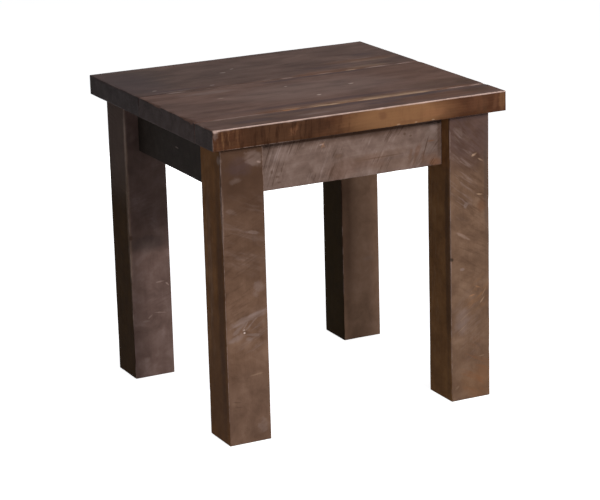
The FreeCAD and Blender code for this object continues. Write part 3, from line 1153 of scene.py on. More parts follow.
def rubbed_and_highlit(tree, place, box, look):
    """Where hands wore the stain away along the arrises, and a lighter rounding, partly painted highlight,
    that faces one way.
    """
    low, high = box
    worn = use_group(
        tree, WEAR, Place=place, Centre=(low + high) / 2, Half=(high - low) / 2,
        Width=look["worn"], Gaps=look["worn_gaps"],
    )["Wear"]
    upward = vectors(tree, "DOT_PRODUCT", normal_of(tree), (0, 0, 1))
    worn = maths(tree, "MULTIPLY", worn, between(tree, upward, SHADED_FROM, SHADED_TO))
    worn = maths(tree, "MULTIPLY", worn, look["worn_pale"])
    # The second mask: what faces the look's way is lightened, partly as wear and partly as a painted
    # highlight.
    highlight = vectors(tree, "DOT_PRODUCT", normal_of(tree), look["highlight_way"])
    highlight = between(tree, highlight, HIGHLIGHT_FROM, HIGHLIGHT_TO)
    uneven = cloud(tree, place, HIGHLIGHT_SCALE, detail=3, roughness=0.6)
    uneven = maths(tree, "MULTIPLY_ADD", uneven, HIGHLIGHT_SPREAD, HIGHLIGHT_LEAST)
    highlight = maths(tree, "MULTIPLY", highlight, uneven)
    return maths(tree, "MAXIMUM", worn, maths(tree, "MINIMUM", highlight, 1.0))

# %% [markdown]
# ## The recipe
#
# The layers come in the order in which they reached the real boards: wood and stain,
# then marks, the work of the saw, and rubbed places. Some faces and marks also carry
# painted shade, and the rubbed places a painted highlight. Relief as geometry would take
# millions of faces for such fine scratches, so one height drives a Bump node.

# %% The recipe
PALE_RUB_AND_HIGHLIGHT = (0.56, 0.40, 0.34)
BUMP_REACH = 0.0006
RELIEF_LOW = 0.82
RELIEF_HIGH = 1.18
FIBRE_ROUGH = 0.2
FIBRE_HIGH = 0.15
PORE_DEEP = -0.08
GRAIN_TURNS = (
    Vector((0, 0, 0)),
    Vector((0, 0, math.radians(-90))),
    Vector((0, math.radians(90), 0)),
)


def toned(tree, colour, tone):
    """Darkens the dark part of the figure and lightens the light part."""
    relief = add_node(tree, "ShaderNodeMapRange")
    fill(tree, relief.inputs["Value"], tone)
    relief.inputs["From Min"].default_value = TONE_LOW
    relief.inputs["From Max"].default_value = TONE_HIGH
    relief.inputs["To Min"].default_value = RELIEF_LOW
    relief.inputs["To Max"].default_value = RELIEF_HIGH
    return tint(tree, 1.0, colour, relief.outputs["Result"], "MULTIPLY")


def stained_board(name, box, look, marks):
    """The material of one stained board."""
    material, tree, shader, place = start_material(name)
    centre = (box[0] + box[1]) / 2
    laid = add_node(tree, "ShaderNodeMapping")
    fill(tree, laid.inputs["Vector"], vectors(tree, "SUBTRACT", place, centre - look["heart"]))
    laid.inputs["Rotation"].default_value = GRAIN_TURNS[look["grain"]] + look["tilt"]
    figure = use_group(tree, FIGURE, Place=laid.outputs[0], Ring_Width=look["ring"])
    saw = use_group(
        tree, SAW, Place=place, Centre=centre + look["saw_centre"],
        Across=look["saw_across"], Along=look["saw_along"],
        Spacing=look["saw_spacing"], Cover=look["saw_cover"], Density=look["saw_density"],
    )
    colour, tone = stained_colour(tree, place, figure, look)
    colour = tone_and_shade_sides(tree, colour, look)
    for marked_box, spot in marks:
        colour = add_spot(tree, place, colour, marked_box, spot)
    for region in look["strokes"]:
        colour = add_strokes(tree, place, colour, box, region)
    colour = toned(tree, colour, tone)
    colour = sawn(tree, colour, saw, look)
    pores = maths(tree, "MULTIPLY", figure["Pores"], look["pores"])
    colour = tint(tree, pores, colour, (*look["deep"], 1))
    # One pale colour serves the worn arrises and the painted highlight.
    colour = tint(tree, rubbed_and_highlit(tree, place, box, look), colour, (*PALE_RUB_AND_HIGHLIGHT, 1))
    fill(tree, shader.inputs["Base Color"], colour)
    rough = maths(tree, "MULTIPLY_ADD", figure["Fibre"], FIBRE_ROUGH, look["rough"])
    fill(tree, shader.inputs["Roughness"], rough)
    shader.inputs["Specular IOR Level"].default_value = look["gloss"]
    height = 0.0
    for part, deep in ((saw["Height"], look["saw_deep"]), (saw["Scratch"], look["saw_deep"]),
                       (figure["Fibre"], FIBRE_HIGH), (figure["Pores"], PORE_DEEP)):
        height = maths(tree, "MULTIPLY_ADD", part, deep, height)
    raise_surface(tree, shader, height, look["bump"], BUMP_REACH)
    return material

# %% [markdown]
# ## Each board's own look
#
# The frame's boards start from one look and the top's from another. Each board then
# changes what is its own: its colours, where the saw stood, and how its faces differ.
# Some of this is painted shade: the left faces of the back posts and of the planks are
# darkened, and the left apron is given colours far darker than the rest of the frame.

# %% The look of the frame
FRAME_LOOK = {
    "grain": 2, "heart": Vector((0.02, 0.05, 0)), "tilt": Vector((0, 0.03, 0.02)),
    "ring": 0.0052, "rings": 0.004, "fibre": 0.03, "streak": 0.08, "pores": 0.04,
    "mottle": 0.46, "mottle_scale": 24, "mottle_draw": (1, 1, 1), "pools": 0.35, "thin": 0.22,
    "saw_centre": Vector((-0.20, 0, 0.50)), "saw_across": (1, 1, 0), "saw_along": (0, 0, 1),
    "saw_spacing": 0.0085, "saw_cover": 0.50, "saw_density": 300,
    "saw_pale": 0.24, "saw_deep": 0.6, "scratch": 0.18,
    "worn": 0.0022, "worn_gaps": 1.0, "worn_pale": 0.30, "highlight_way": Vector((0, 0, 0)),
    "rough": 0.50, "gloss": 0.02, "bump": 0.5,
    "deep": (0.096, 0.052, 0.033), "mid": (0.143, 0.084, 0.056), "light": (0.198, 0.126, 0.090),
    "side_tone_and_shade": {}, "strokes": (),
}
print("the look of the frame has", len(FRAME_LOOK), "values")

# %% The look of the top
TOP_LOOK = {
    **FRAME_LOOK,
    "grain": 0, "heart": Vector((0, 0.03, 0.09)), "tilt": Vector((0, 0.02, 0.015)),
    "rings": 0.03, "fibre": 0.06, "streak": 0.12,
    "mottle": 0.47, "mottle_scale": 30, "mottle_draw": (0.36, 1, 1),
    "saw_centre": Vector((0.22, -0.75, 0)), "saw_across": (1, 0, 0), "saw_along": (0, 1, 1),
    "saw_cover": 0.40, "saw_pale": 0.08, "saw_deep": 0.4, "scratch": 0.12,
    "worn": 0.0030, "worn_gaps": 0.8, "worn_pale": 0.6,
    "rough": 0.42, "gloss": 0.012, "bump": 0.3,
    "deep": (0.077, 0.040, 0.031), "mid": (0.141, 0.076, 0.058), "light": (0.207, 0.123, 0.097),
}
print("the look of the top has", len(TOP_LOOK), "values")

# %% Looks of single boards
OWN_LOOKS = {
    "top_plank_front": {
        # The way given here lightens the rounding along the front, partly as wear and partly as a painted
        # highlight facing the key lamp.
        "mid": (0.130, 0.073, 0.057), "worn_pale": 0.22, "highlight_way": Vector((0, -0.71, 0.71)),
        # The left wash is painted shade on the left end; the front one is the edge's warmer stain.
        "side_tone_and_shade": {"front": (0.48, 0.320, 0.190), "left": (0.55, 0.74, 0.88)},
        "strokes": (
            ("front", 0.21, 0.5, 0.34, 0.2, 88, 95, "char", 0.95),
            ("front", 0.92, 0.5, 0.14, 0.2, 92, 95, "bark", 0.7),
            ("front", 0.6, 0.5, 0.3, 0.2, 90, 80, "russet", 0.25),
            ("front", 0.05, 0.4, 0.06, 0.1, 86, 160, "gold", 0.55),
        ),
    },
    "top_plank_middle": {
        "mid": (0.164, 0.090, 0.069), "heart": Vector((0.1, -0.05, 0.07)), "worn_pale": 0.14,
        # The left wash is painted shade on the left end.
        "side_tone_and_shade": {"left": (0.50, 0.65, 0.78)},
    },
    "top_plank_back": {
        "mid": (0.132, 0.077, 0.061), "heart": Vector((0.2, 0.06, -0.08)), "worn_pale": 0.14,
        # The left wash is painted shade on the left end.
        "side_tone_and_shade": {"left": (0.55, 0.72, 0.86)},
    },
    "leg_front_left": {
        "deep": (0.098, 0.050, 0.030), "mid": (0.154, 0.086, 0.055), "light": (0.216, 0.130, 0.089),
        # The left wash makes the left face lighter and warmer.
        "side_tone_and_shade": {"left": (1.14, 0.89, 0.50)}, "saw_cover": 0.30,
        "strokes": (
            ("front", 0.5, 0.13, 0.16, 0.26, 22, 55, "umber", 0.62),
            ("front", 0.55, 0.3, 0.14, 0.2, -24, 60, "ash", 0.18),
            ("front", 0.4, 0.42, 0.16, 0.3, 24, 60, "umber", 0.42),
            ("front", 0.6, 0.62, 0.1, 0.12, 24, 110, "ash", 0.28),
            ("front", 0.6, 0.86, 0.12, 0.2, -16, 70, "umber", 0.05),
            ("left", 0.25, 0.4, 0.06, 0.6, 88, 120, "tan", 0.22),
        ),
    },
    "leg_front_right": {
        "heart": Vector((-0.06, 0.03, 0.1)), "saw_centre": Vector((0.22, 0, 0.45)), "saw_cover": 0.34,
        "mid": (0.150, 0.086, 0.054), "light": (0.208, 0.128, 0.085),
        # The left wash makes the left face lighter and warmer.
        "side_tone_and_shade": {"left": (1.54, 1.28, 0.79)},
        "strokes": (
            ("front", 0.7, 0.22, 0.12, 0.34, -36, 62, "umber", 0.56),
            ("front", 0.3, 0.1, 0.12, 0.18, -44, 75, "umber", 0.6),
            ("front", 0.3, 0.22, 0.08, 0.22, -38, 80, "ash", 0.36),
            ("front", 0.6, 0.48, 0.12, 0.2, -28, 75, "umber", 0.4),
            ("front", 0.7, 0.64, 0.08, 0.12, 30, 130, "gold", 0.55),
            ("front", 0.4, 0.74, 0.1, 0.18, 34, 75, "ash", 0.2),
            ("front", 0.7, 0.9, 0.1, 0.16, -30, 80, "rust", 0.5),
            ("left", 0.3, 0.5, 0.06, 0.6, 88, 120, "tan", 0.2),
        ),
    },
    "leg_back_left": {
        "heart": Vector((0.05, -0.04, 0.2)), "saw_centre": Vector((0.10, 0, -0.55)), "gloss": 0.012,
        "deep": (0.105, 0.064, 0.052), "mid": (0.164, 0.103, 0.086), "light": (0.235, 0.162, 0.142),
        # The left wash is painted shade on the left face, which lies in shade.
        "side_tone_and_shade": {"left": (0.190, 0.126, 0.024)},
    },
    "leg_back_right": {
        "heart": Vector((-0.04, -0.06, 0.3)), "saw_cover": 0.35, "mottle": 0.45, "gloss": 0.012,
        "deep": (0.175, 0.102, 0.066), "mid": (0.236, 0.138, 0.090), "light": (0.275, 0.168, 0.118),
        # The left wash is painted shade on the left face, which the other posts shade.
        "side_tone_and_shade": {"left": (0.128, 0.113, 0.036)},
    },
    "apron_front": {
        "heart": Vector((0.03, 0.04, -0.05)), "saw_centre": Vector((0.45, 0, -0.25)),
        "saw_cover": 0.54, "saw_density": 190, "saw_pale": 0.20, "saw_deep": 0.8,
        "scratch": 0.78, "streak": 0.15,
        "deep": (0.095, 0.057, 0.043), "mid": (0.160, 0.105, 0.084), "light": (0.240, 0.172, 0.146),
    },
    "apron_left": {
        "heart": Vector((0.04, 0.02, 0.06)), "saw_centre": Vector((0, 0.4, -0.3)), "gloss": 0.0175,
        # These colours are painted shade: the left apron lies in shade behind the front left post, so it is
        # given colours far darker than the rest of the frame.
        "deep": (0.019, 0.014, 0.012), "mid": (0.031, 0.023, 0.019), "light": (0.050, 0.038, 0.032),
    },
    "apron_back": {"heart": Vector((0.06, -0.03, 0.05)), "saw_centre": Vector((-0.4, 0, -0.3))},
    "apron_right": {"heart": Vector((-0.03, 0.05, 0.04)), "saw_centre": Vector((0, -0.4, -0.35))},
}
print(len(OWN_LOOKS), "boards with a look of their own")

# %% [markdown]
# ## Each board's own marks
#
# The stains have names, as on a finisher's shelf. Painting the marks by hand would
# tie them to an image. Here each is a row of numbers, listed by its face: its place
# as shares of the face across and down, its length and width in metres, its lean in
# degrees, its stain, its strength and how ragged it is. A later mark lies over an
# earlier one, so their order counts.

# %% Stains
# Some of these colours also serve as painted shade and painted shadow in the marks below.
STAINS = {
    "bark": (0.066, 0.029, 0.014),
    "soot": (0.02, 0.014, 0.01),
    "char": (0.034, 0.013, 0.006),
    "plum": (0.075, 0.046, 0.047),
    "umber": (0.07, 0.036, 0.022),
    "russet": (0.125, 0.052, 0.026),
    "gold": (0.212, 0.102, 0.046),
    "tan": (0.4, 0.26, 0.17),
    "rose": (0.44, 0.31, 0.26),
    "ash": (0.26, 0.185, 0.16),
    "orange": (0.4, 0.19, 0.09),
    "cocoa": (0.145, 0.086, 0.06),
    "pearl": (0.7, 0.55, 0.48),
    "rust": (0.2, 0.085, 0.04),
    "smoke": (0.055, 0.04, 0.036),
}
print(len(STAINS), "stains on the shelf")

# %% [markdown]
# ## Marks of the top
#
# The seams of the top have pale, rubbed rims with darker stain beside them, and
# pearl spots lie where something hit the wood. A mark may cross a seam, so all are
# given as shares of the whole top, and each plank takes those that reach it.

# %% Marks of the top
TOP_MARKS = (
    (0.6, 0.855, 0.42, 0.032, 0, "gold", 0.6, 1.4), (0.88, 0.853, 0.14, 0.024, 0, "rust", 0.5, 1.2),
    (0.6, 0.893, 0.64, 0.023, 0, "plum", 0.65, 0.9), (0.28, 0.85, 0.16, 0.03, 0, "rust", 0.4, 1.2),
    (0.33, 0.848, 0.06, 0.015, 0, "tan", 0.4, 1.4), (0.42, 0.852, 0.06, 0.017, 0, "tan", 0.5, 1.4),
    (0.52, 0.85, 0.07, 0.019, 0, "tan", 0.45, 1.4), (0.62, 0.853, 0.09, 0.019, 0, "tan", 0.5, 1.4),
    (0.73, 0.853, 0.1, 0.017, 0, "tan", 0.5, 1.4), (0.83, 0.85, 0.08, 0.014, 0, "rose", 0.35, 1.4),
    (0.72, 0.408, 0.34, 0.03, 0, "rust", 0.4, 1.4), (0.7, 0.442, 0.42, 0.018, 0, "plum", 0.55, 0.9),
    (0.84, 0.395, 0.13, 0.03, 0, "tan", 0.28, 1.4), (0.86, 0.31, 0.16, 0.023, 0, "tan", 0.24, 1.4),
    (0.84, 0.29, 0.22, 0.036, 0, "rust", 0.35, 1.2), (0.72, 0.335, 0.22, 0.018, 0, "plum", 0.5, 0.9),
    (0.2, 0.18, 0.44, 0.26, 0, "smoke", 0.24, 0.9), (0.0, 0.1, 0.34, 0.34, 0, "smoke", 0.55, 0.7),
    (0.04, 0.4, 0.24, 0.44, 0, "smoke", 0.4, 0.9), (0.13, 0.405, 0.11, 0.007, 0, "ash", 0.55, 1.4),
    (0.17, 0.44, 0.18, 0.014, 0, "soot", 0.4, 1.4), (0.2, 0.93, 0.3, 0.07, 0, "umber", 0.3, 1.2),
    (0.05, 0.22, 0.16, 0.32, 0, "plum", 0.5, 0.8), (0.5, 0.63, 0.52, 0.18, 0, "ash", 0.3, 1.0),
    (0.88, 0.79, 0.25, 0.11, 0, "umber", 0.52, 0.8), (0.83, 0.94, 0.34, 0.06, 0, "russet", 0.6, 0.8),
    (0.05, 0.66, 0.16, 0.2, 0, "smoke", 0.22, 0.9), (0.9, 0.5, 0.22, 0.42, 0, "russet", 0.28, 1.0),
    (0.45, 0.805, 0.62, 0.026, 0, "plum", 0.6, 0.7), (0.97, 0.8, 0.07, 0.045, 0, "umber", 0.6, 0.6),
    (0.21, 0.49, 0.15, 0.034, 0, "ash", 0.45, 0.8), (0.485, 0.455, 0.12, 0.02, 0, "plum", 0.6, 0.6),
    (0.16, 0.39, 0.18, 0.02, 0, "plum", 0.6, 0.6), (0.9, 0.215, 0.07, 0.04, 0, "plum", 0.55, 0.7),
    (0.87, 0.27, 0.06, 0.005, 4, "rose", 0.32, 0.4), (0.16, 0.94, 0.12, 0.03, 0, "plum", 0.6, 0.7),
    (0.61, 0.93, 0.11, 0.03, 0, "plum", 0.65, 0.7), (0.93, 0.925, 0.08, 0.045, 0, "umber", 0.6, 0.6),
    (0.36, 0.95, 0.1, 0.02, 0, "ash", 0.3, 0.7), (0.43, 0.18, 0.012, 0.006, 10, "pearl", 0.66, 0.5),
    (0.38, 0.22, 0.018, 0.007, -8, "pearl", 0.4, 0.6), (0.08, 0.365, 0.012, 0.006, 0, "pearl", 0.38, 0.5),
    (0.27, 0.387, 0.014, 0.006, 0, "pearl", 0.38, 0.5), (0.457, 0.54, 0.012, 0.007, 20, "pearl", 0.44, 0.5),
    (0.65, 0.617, 0.016, 0.009, 0, "pearl", 0.64, 0.5), (0.49, 0.714, 0.014, 0.008, 10, "pearl", 0.64, 0.5),
    (0.21, 0.59, 0.02, 0.007, 0, "pearl", 0.26, 0.5), (0.13, 0.4225, 0.05, 0.0042, 0, "ash", 0.9, 0.4),
    (0.45, 0.417, 0.03, 0.007, 0, "rose", 0.36, 0.5), (0.52, 0.4225, 0.04, 0.0042, 0, "rose", 0.43, 0.4),
    (0.65, 0.4225, 0.05, 0.0042, 0, "rose", 0.4, 0.4), (0.75, 0.4215, 0.035, 0.006, 0, "tan", 0.85, 0.5),
    (0.845, 0.4215, 0.07, 0.006, 0, "rose", 0.61, 0.5), (0.94, 0.4225, 0.04, 0.0045, 0, "rose", 0.43, 0.4),
    (0.32, 0.8615, 0.045, 0.006, 0, "orange", 0.6, 0.5), (0.45, 0.8615, 0.075, 0.0065, 0, "tan", 0.9, 0.5),
    (0.61, 0.8615, 0.09, 0.006, 0, "tan", 0.85, 0.5), (0.74, 0.861, 0.12, 0.007, 0, "tan", 1.0, 0.5),
    (0.9, 0.8615, 0.06, 0.006, 0, "rose", 0.58, 0.5), (0.97, 0.8615, 0.04, 0.006, 0, "rose", 0.58, 0.5),
    (0.15, 0.8625, 0.16, 0.0042, 0, "ash", 0.5, 0.6),
)
print(len(TOP_MARKS), "marks on the top")

# %% [markdown]
# ## Marks of the front edge
#
# The front edge of the top is the face that is seen best. Its left part is almost
# black with stain, its middle is rubbed golden, and small dark knots lie between.

# %% Marks of the front edge
MARKS = {}
MARKS["top_plank_front"] = (
    ("front", (
        (0.01, 0.3, 0.018, 0.012, 90, "ash", 0.3, 1.8), (0.235, 0.5, 0.27, 0.09, 0, "bark", 0.88, 1.0),
        (0.055, 0.75, 0.05, 0.02, 0, "bark", 0.45, 2.4), (0.262, 0.45, 0.034, 0.028, 0, "rust", 0.5, 2.8),
        (0.335, 0.5, 0.074, 0.07, 0, "char", 0.55, 2.4), (0.13, 0.5, 0.06, 0.07, 0, "char", 0.42, 2.4),
        (0.392, 0.7, 0.034, 0.026, 70, "bark", 0.6, 2.4), (0.62, 0.5, 0.3, 0.09, 0, "gold", 0.92, 0.5),
        (0.43, 0.8, 0.05, 0.01, 0, "bark", 0.35, 1.2), (0.565, 0.4, 0.024, 0.02, 0, "russet", 0.55, 1.0),
        (0.66, 0.85, 0.08, 0.008, 0, "russet", 0.35, 1.2), (0.8, 0.65, 0.06, 0.02, 0, "bark", 0.35, 1.4),
        (0.9, 0.5, 0.06, 0.04, 0, "russet", 0.55, 1.4), (0.96, 0.5, 0.044, 0.016, 84, "russet", 0.5, 1.8),
        (0.985, 0.5, 0.044, 0.018, 90, "gold", 0.4, 1.6), (0.74, 0.6, 0.09, 0.02, 0, "rust", 0.4, 1.2),
        (0.16, 0.985, 0.2, 0.003, 0, "rose", 0.45, 0.8), (0.62, 0.93, 0.01, 0.004, 0, "tan", 0.5, 0.6),
        (0.68, 0.93, 0.008, 0.004, 0, "tan", 0.4, 0.6), (0.74, 0.93, 0.01, 0.004, 0, "tan", 0.5, 0.6),
    )),
)

# %% [markdown]
# ## Marks of the front posts
#
# Both front posts have dark knots, pale scratches that lean across the face, and
# arrises that are rubbed light in some places and not in others. Below the top each has
# a painted shadow line, and its upper part is darker, partly with stain and partly with
# painted shade under the top.

# %% Marks of the front left post
MARKS["leg_front_left"] = (
    ("front", (
        # The soot line is a painted shadow under the top. The two umber ovals on the next line darken the
        # upper post, partly stain and partly painted shade under the top.
        (0.5, 0.015, 0.14, 0.018, 0, "soot", 0.75, 0.3), (0.0, 0.18, 0.24, 0.0095, 90, "rose", 0.85, 1.2),
        (0.5, 0.06, 0.26, 0.28, 90, "umber", 0.85, 0.5), (0.5, 0.23, 0.34, 0.24, 90, "umber", 0.54, 0.7),
        (0.45, 0.075, 0.06, 0.046, 10, "plum", 0.45, 1.6), (0.78, 0.048, 0.04, 0.044, 90, "ash", 0.4, 2.2),
        (0.9, 0.062, 0.012, 0.006, -20, "rose", 0.4, 1.2), (0.33, 0.114, 0.034, 0.014, 8, "ash", 0.24, 2.0),
        (0.8, 0.126, 0.022, 0.05, 0, "umber", 0.45, 0.8), (0.2, 0.212, 0.036, 0.014, -14, "ash", 0.24, 2.0),
        (0.1, 0.289, 0.02, 0.004, 0, "umber", 0.6, 0.6), (0.14, 0.328, 0.018, 0.004, 0, "umber", 0.55, 0.6),
        (0.1, 0.358, 0.015, 0.005, 0, "umber", 0.6, 0.6), (0.7, 0.29, 0.04, 0.008, -16, "ash", 0.35, 2.0),
        (0.78, 0.481, 0.04, 0.03, 60, "ash", 0.35, 2.4), (0.55, 0.575, 0.09, 0.014, 13, "ash", 0.4, 2.4),
        (0.74, 0.561, 0.05, 0.008, 15, "ash", 0.45, 1.8), (0.3, 0.606, 0.06, 0.01, 40, "ash", 0.4, 2.2),
        (0.56, 0.6, 0.044, 0.005, 44, "ash", 0.45, 1.6), (0.16, 0.64, 0.04, 0.016, 14, "ash", 0.5, 2.2),
        (0.64, 0.632, 0.034, 0.007, -8, "ash", 0.4, 1.8), (0.45, 0.6, 0.03, 0.0035, 55, "ash", 0.5, 1.4),
        (0.3, 0.59, 0.07, 0.005, 20, "ash", 0.4, 2.0), (0.45, 0.62, 0.016, 0.012, 0, "umber", 0.55, 0.6),
        (0.44, 0.622, 0.006, 0.005, 0, "pearl", 0.75, 0.8),
        (0.43, 0.612, 0.005, 0.004, 30, "pearl", 0.5, 0.8), (0.55, 0.644, 0.018, 0.01, 0, "ash", 0.42, 1.0),
        (0.68, 0.768, 0.034, 0.004, 6, "tan", 0.27, 0.8),
        (0.2, 0.852, 0.022, 0.004, -12, "umber", 0.45, 0.5),
        (0.24, 0.87, 0.02, 0.004, -12, "umber", 0.4, 0.5), (0.5, 0.88, 0.24, 0.2, 90, "ash", 0.07, 0.5),
        (0.82, 0.95, 0.03, 0.026, 90, "ash", 0.3, 2.4), (0.42, 0.368, 0.04, 0.008, -6, "umber", 0.35, 0.8),
    )),
    ("left", (
        (0.8, 0.5, 0.64, 0.04, 90, "bark", 0.8, 0.8), (0.3, 0.4, 0.4, 0.03, 90, "cocoa", 0.4, 0.9),
        (0.9, 0.045, 0.024, 0.02, 90, "ash", 0.59, 0.9), (0.5, 0.8, 0.34, 0.12, 90, "umber", 0.45, 0.8),
    )),
)

# %% Marks of the front right post
MARKS["leg_front_right"] = (
    ("front", (
        # The soot line is a painted shadow under the top. The umber and plum ovals on the next line darken
        # the upper post, partly stain and partly painted shade under the top.
        (0.5, 0.015, 0.14, 0.018, 0, "soot", 0.75, 0.3), (0.0, 0.506, 0.66, 0.005, 90, "ash", 0.51, 1.0),
        (0.5, 0.06, 0.2, 0.2, 90, "umber", 0.45, 0.6), (0.5, 0.06, 0.2, 0.2, 90, "plum", 0.55, 0.6),
        (0.8, 0.96, 0.1, 0.12, 90, "gold", 0.3, 1.4), (0.2, 0.06, 0.03, 0.02, -40, "ash", 0.35, 2.0),
        (0.64, 0.15, 0.034, 0.022, -20, "umber", 0.7, 1.6), (0.62, 0.146, 0.014, 0.006, 24, "tan", 0.7, 1.2),
        (0.78, 0.165, 0.018, 0.004, -30, "tan", 0.45, 1.2),
        (0.75, 0.185, 0.03, 0.034, 0, "umber", 0.45, 0.8),
        (0.76, 0.286, 0.036, 0.02, -16, "umber", 0.7, 1.6), (0.76, 0.284, 0.02, 0.006, -12, "tan", 0.6, 1.4),
        (0.93, 0.25, 0.3, 0.016, 90, "smoke", 0.45, 1.2), (0.42, 0.312, 0.018, 0.012, 40, "ash", 0.5, 2.0),
        (0.8, 0.323, 0.03, 0.032, 0, "russet", 0.5, 0.9),
        (0.31, 0.419, 0.042, 0.007, -30, "rose", 0.22, 1.8),
        (0.02, 0.496, 0.01, 0.012, 90, "soot", 0.8, 0.5), (0.3, 0.536, 0.014, 0.008, 0, "ash", 0.47, 1.0),
        (0.68, 0.604, 0.022, 0.0036, -24, "orange", 0.34, 1.4),
        (0.86, 0.624, 0.02, 0.0036, 58, "tan", 0.26, 1.4), (0.8, 0.655, 0.024, 0.004, 50, "tan", 0.45, 1.2),
        (0.55, 0.632, 0.018, 0.004, 10, "orange", 0.4, 1.0), (0.3, 0.718, 0.04, 0.07, 0, "ash", 0.34, 1.2),
        (0.35, 0.704, 0.036, 0.003, 35, "tan", 0.24, 0.8), (0.3, 0.743, 0.036, 0.003, 35, "tan", 0.24, 0.8),
        (0.78, 0.852, 0.016, 0.004, 6, "tan", 0.26, 1.2), (0.8, 0.921, 0.04, 0.06, 0, "rust", 0.25, 0.9),
        (0.15, 0.951, 0.014, 0.006, 40, "tan", 0.24, 1.4),
        (0.45, 0.506, 0.05, 0.03, -20, "umber", 0.25, 1.0),
    )),
    ("left", (
        (0.86, 0.5, 0.62, 0.026, 90, "umber", 0.65, 0.8),
    )),
)

# %% [markdown]
# ## Marks of the back posts
#
# Less is seen of the back posts. The left one is greyer than the others, with bands of
# painted shade across the upper half of its front and rosy specks lower down, and painted
# shade on its left face. The right one is nearly plain, but for painted shade down the
# left of its front and on its left face.

# %% Marks of the back left post
MARKS["leg_back_left"] = (
    ("front", (
        (0.0, 0.436, 0.5, 0.005, 90, "ash", 0.42, 1.1), (0.0, 0.13, 0.15, 0.008, 90, "pearl", 0.45, 0.8),
        # Both smoke ovals are painted shade on the upper half of the post, which lies in the shadow of the
        # apron and the top.
        (0.5, 0.267, 0.34, 0.2, 90, "smoke", 0.4, 0.5), (0.5, 0.508, 0.14, 0.055, 0, "smoke", 0.6, 0.5),
    )),
    ("left", (
        (0.5, 0.1, 0.36, 0.34, 90, "ash", 0.42, 0.4), (1.0, 0.36, 0.56, 0.022, 90, "tan", 0.3, 0.8),
    )),
    ("front", (
        (0.7, 0.656, 0.024, 0.004, 3, "rose", 0.4, 1.4), (0.9, 0.668, 0.012, 0.004, -45, "rose", 0.55, 1.0),
        (0.44, 0.778, 0.016, 0.004, 40, "rose", 0.32, 1.4),
        (0.69, 0.769, 0.028, 0.004, -8, "rose", 0.36, 1.4), (0.33, 0.793, 0.02, 0.005, 0, "ash", 0.42, 0.9),
        (0.3, 0.934, 0.02, 0.014, 0, "ash", 0.42, 1.0), (0.04, 0.483, 0.014, 0.01, 90, "umber", 0.6, 0.5),
    )),
)

# %% Marks of the back right post
MARKS["leg_back_right"] = (
    ("front", (
        # Both umber ovals are painted shade along the left of the front, which the front right post shades.
        (0.1, 0.5, 0.62, 0.034, 90, "umber", 0.45, 0.4), (0.02, 0.5, 0.64, 0.09, 90, "umber", 0.5, 0.4),
        (0.7, 0.7, 0.04, 0.012, 0, "ash", 0.17, 1.1),
    )),
)

# %% [markdown]
# ## Marks of the aprons
#
# The front apron is sawn roughest of all. It has small knots near both ends, and a
# painted shadow line under the top. The left one has one scratch.

# %% Marks of the front apron
MARKS["apron_front"] = (
    ("front", (
        (0.353, 0.29, 0.026, 0.02, 20, "umber", 0.45, 2.0),
        (0.353, 0.29, 0.018, 0.004, 60, "orange", 0.28, 1.8),
        (0.353, 0.29, 0.018, 0.004, -55, "orange", 0.24, 1.8),
        (0.345, 0.28, 0.014, 0.0035, 5, "rose", 0.45, 1.0),
        (0.434, 0.544, 0.034, 0.016, 0, "umber", 0.35, 0.6),
        (0.434, 0.544, 0.022, 0.009, 0, "cocoa", 0.5, 0.6),
        (0.078, 0.662, 0.008, 0.01, 0, "umber", 0.55, 0.6),
        (0.107, 0.763, 0.01, 0.007, 0, "umber", 0.55, 0.6),
        (0.13, 0.645, 0.006, 0.012, 0, "umber", 0.45, 0.6),
        (0.116, 0.873, 0.01, 0.006, 0, "umber", 0.5, 0.6),
        (0.671, 0.679, 0.11, 0.0035, 1, "umber", 0.55, 0.5),
        (0.794, 0.307, 0.008, 0.008, 0, "umber", 0.6, 0.6),
        (0.827, 0.358, 0.008, 0.006, 0, "umber", 0.55, 0.6),
        (0.826, 0.72, 0.04, 0.01, 76, "russet", 0.34, 2.6),
        (0.862, 0.7, 0.05, 0.014, 66, "russet", 0.42, 2.6),
        (0.896, 0.8, 0.03, 0.012, 80, "russet", 0.3, 2.6), (0.935, 0.85, 0.06, 0.034, 0, "rust", 0.28, 1.2),
        (0.91, 0.611, 0.062, 0.004, 72, "umber", 0.6, 0.4),
        (0.941, 0.51, 0.022, 0.004, 0, "rust", 0.55, 0.5), (0.955, 0.256, 0.026, 0.018, 0, "ash", 0.5, 0.8),
        # The char band at the end of this line and the wide umber band after it are a painted shadow under
        # the top.
        (0.96, 0.932, 0.034, 0.022, 0, "rust", 0.65, 0.8), (0.5, 0.16, 0.5, 0.009, 0, "char", 0.85, 0.3),
        (0.5, 0.2, 0.5, 0.022, 0, "umber", 0.42, 0.4), (0.78, 0.86, 0.2, 0.03, 0, "cocoa", 0.45, 1.4),
        (0.985, 0.5, 0.09, 0.012, 90, "umber", 0.5, 1.0), (0.66, 0.64, 0.16, 0.02, 2, "cocoa", 0.45, 1.4),
        (0.14, 0.366, 0.06, 0.04, 0, "ash", 0.35, 0.9), (0.45, 0.8, 0.11, 0.05, 0, "russet", 0.22, 1.8),
        (0.61, 0.72, 0.09, 0.04, 0, "russet", 0.17, 1.8),
    )),
)

# %% Marks of the left apron
MARKS["apron_left"] = (
    ("left", (
        (0.52, 0.55, 0.02, 0.004, 0, "ash", 0.6, 0.5),
    )),
)
print(len(MARKS), "boards with marks of their own")

# %% [markdown]
# ## The boards get their stain
#
# Each board now gets its material. An apron's shares are counted without its tenons,
# which hide inside the posts, and its grain runs the way that the apron runs.

# %% Stain the boards
SEAM_SHARE = 0.02
whole_top = (frame_low.copy(), frame_high.copy())


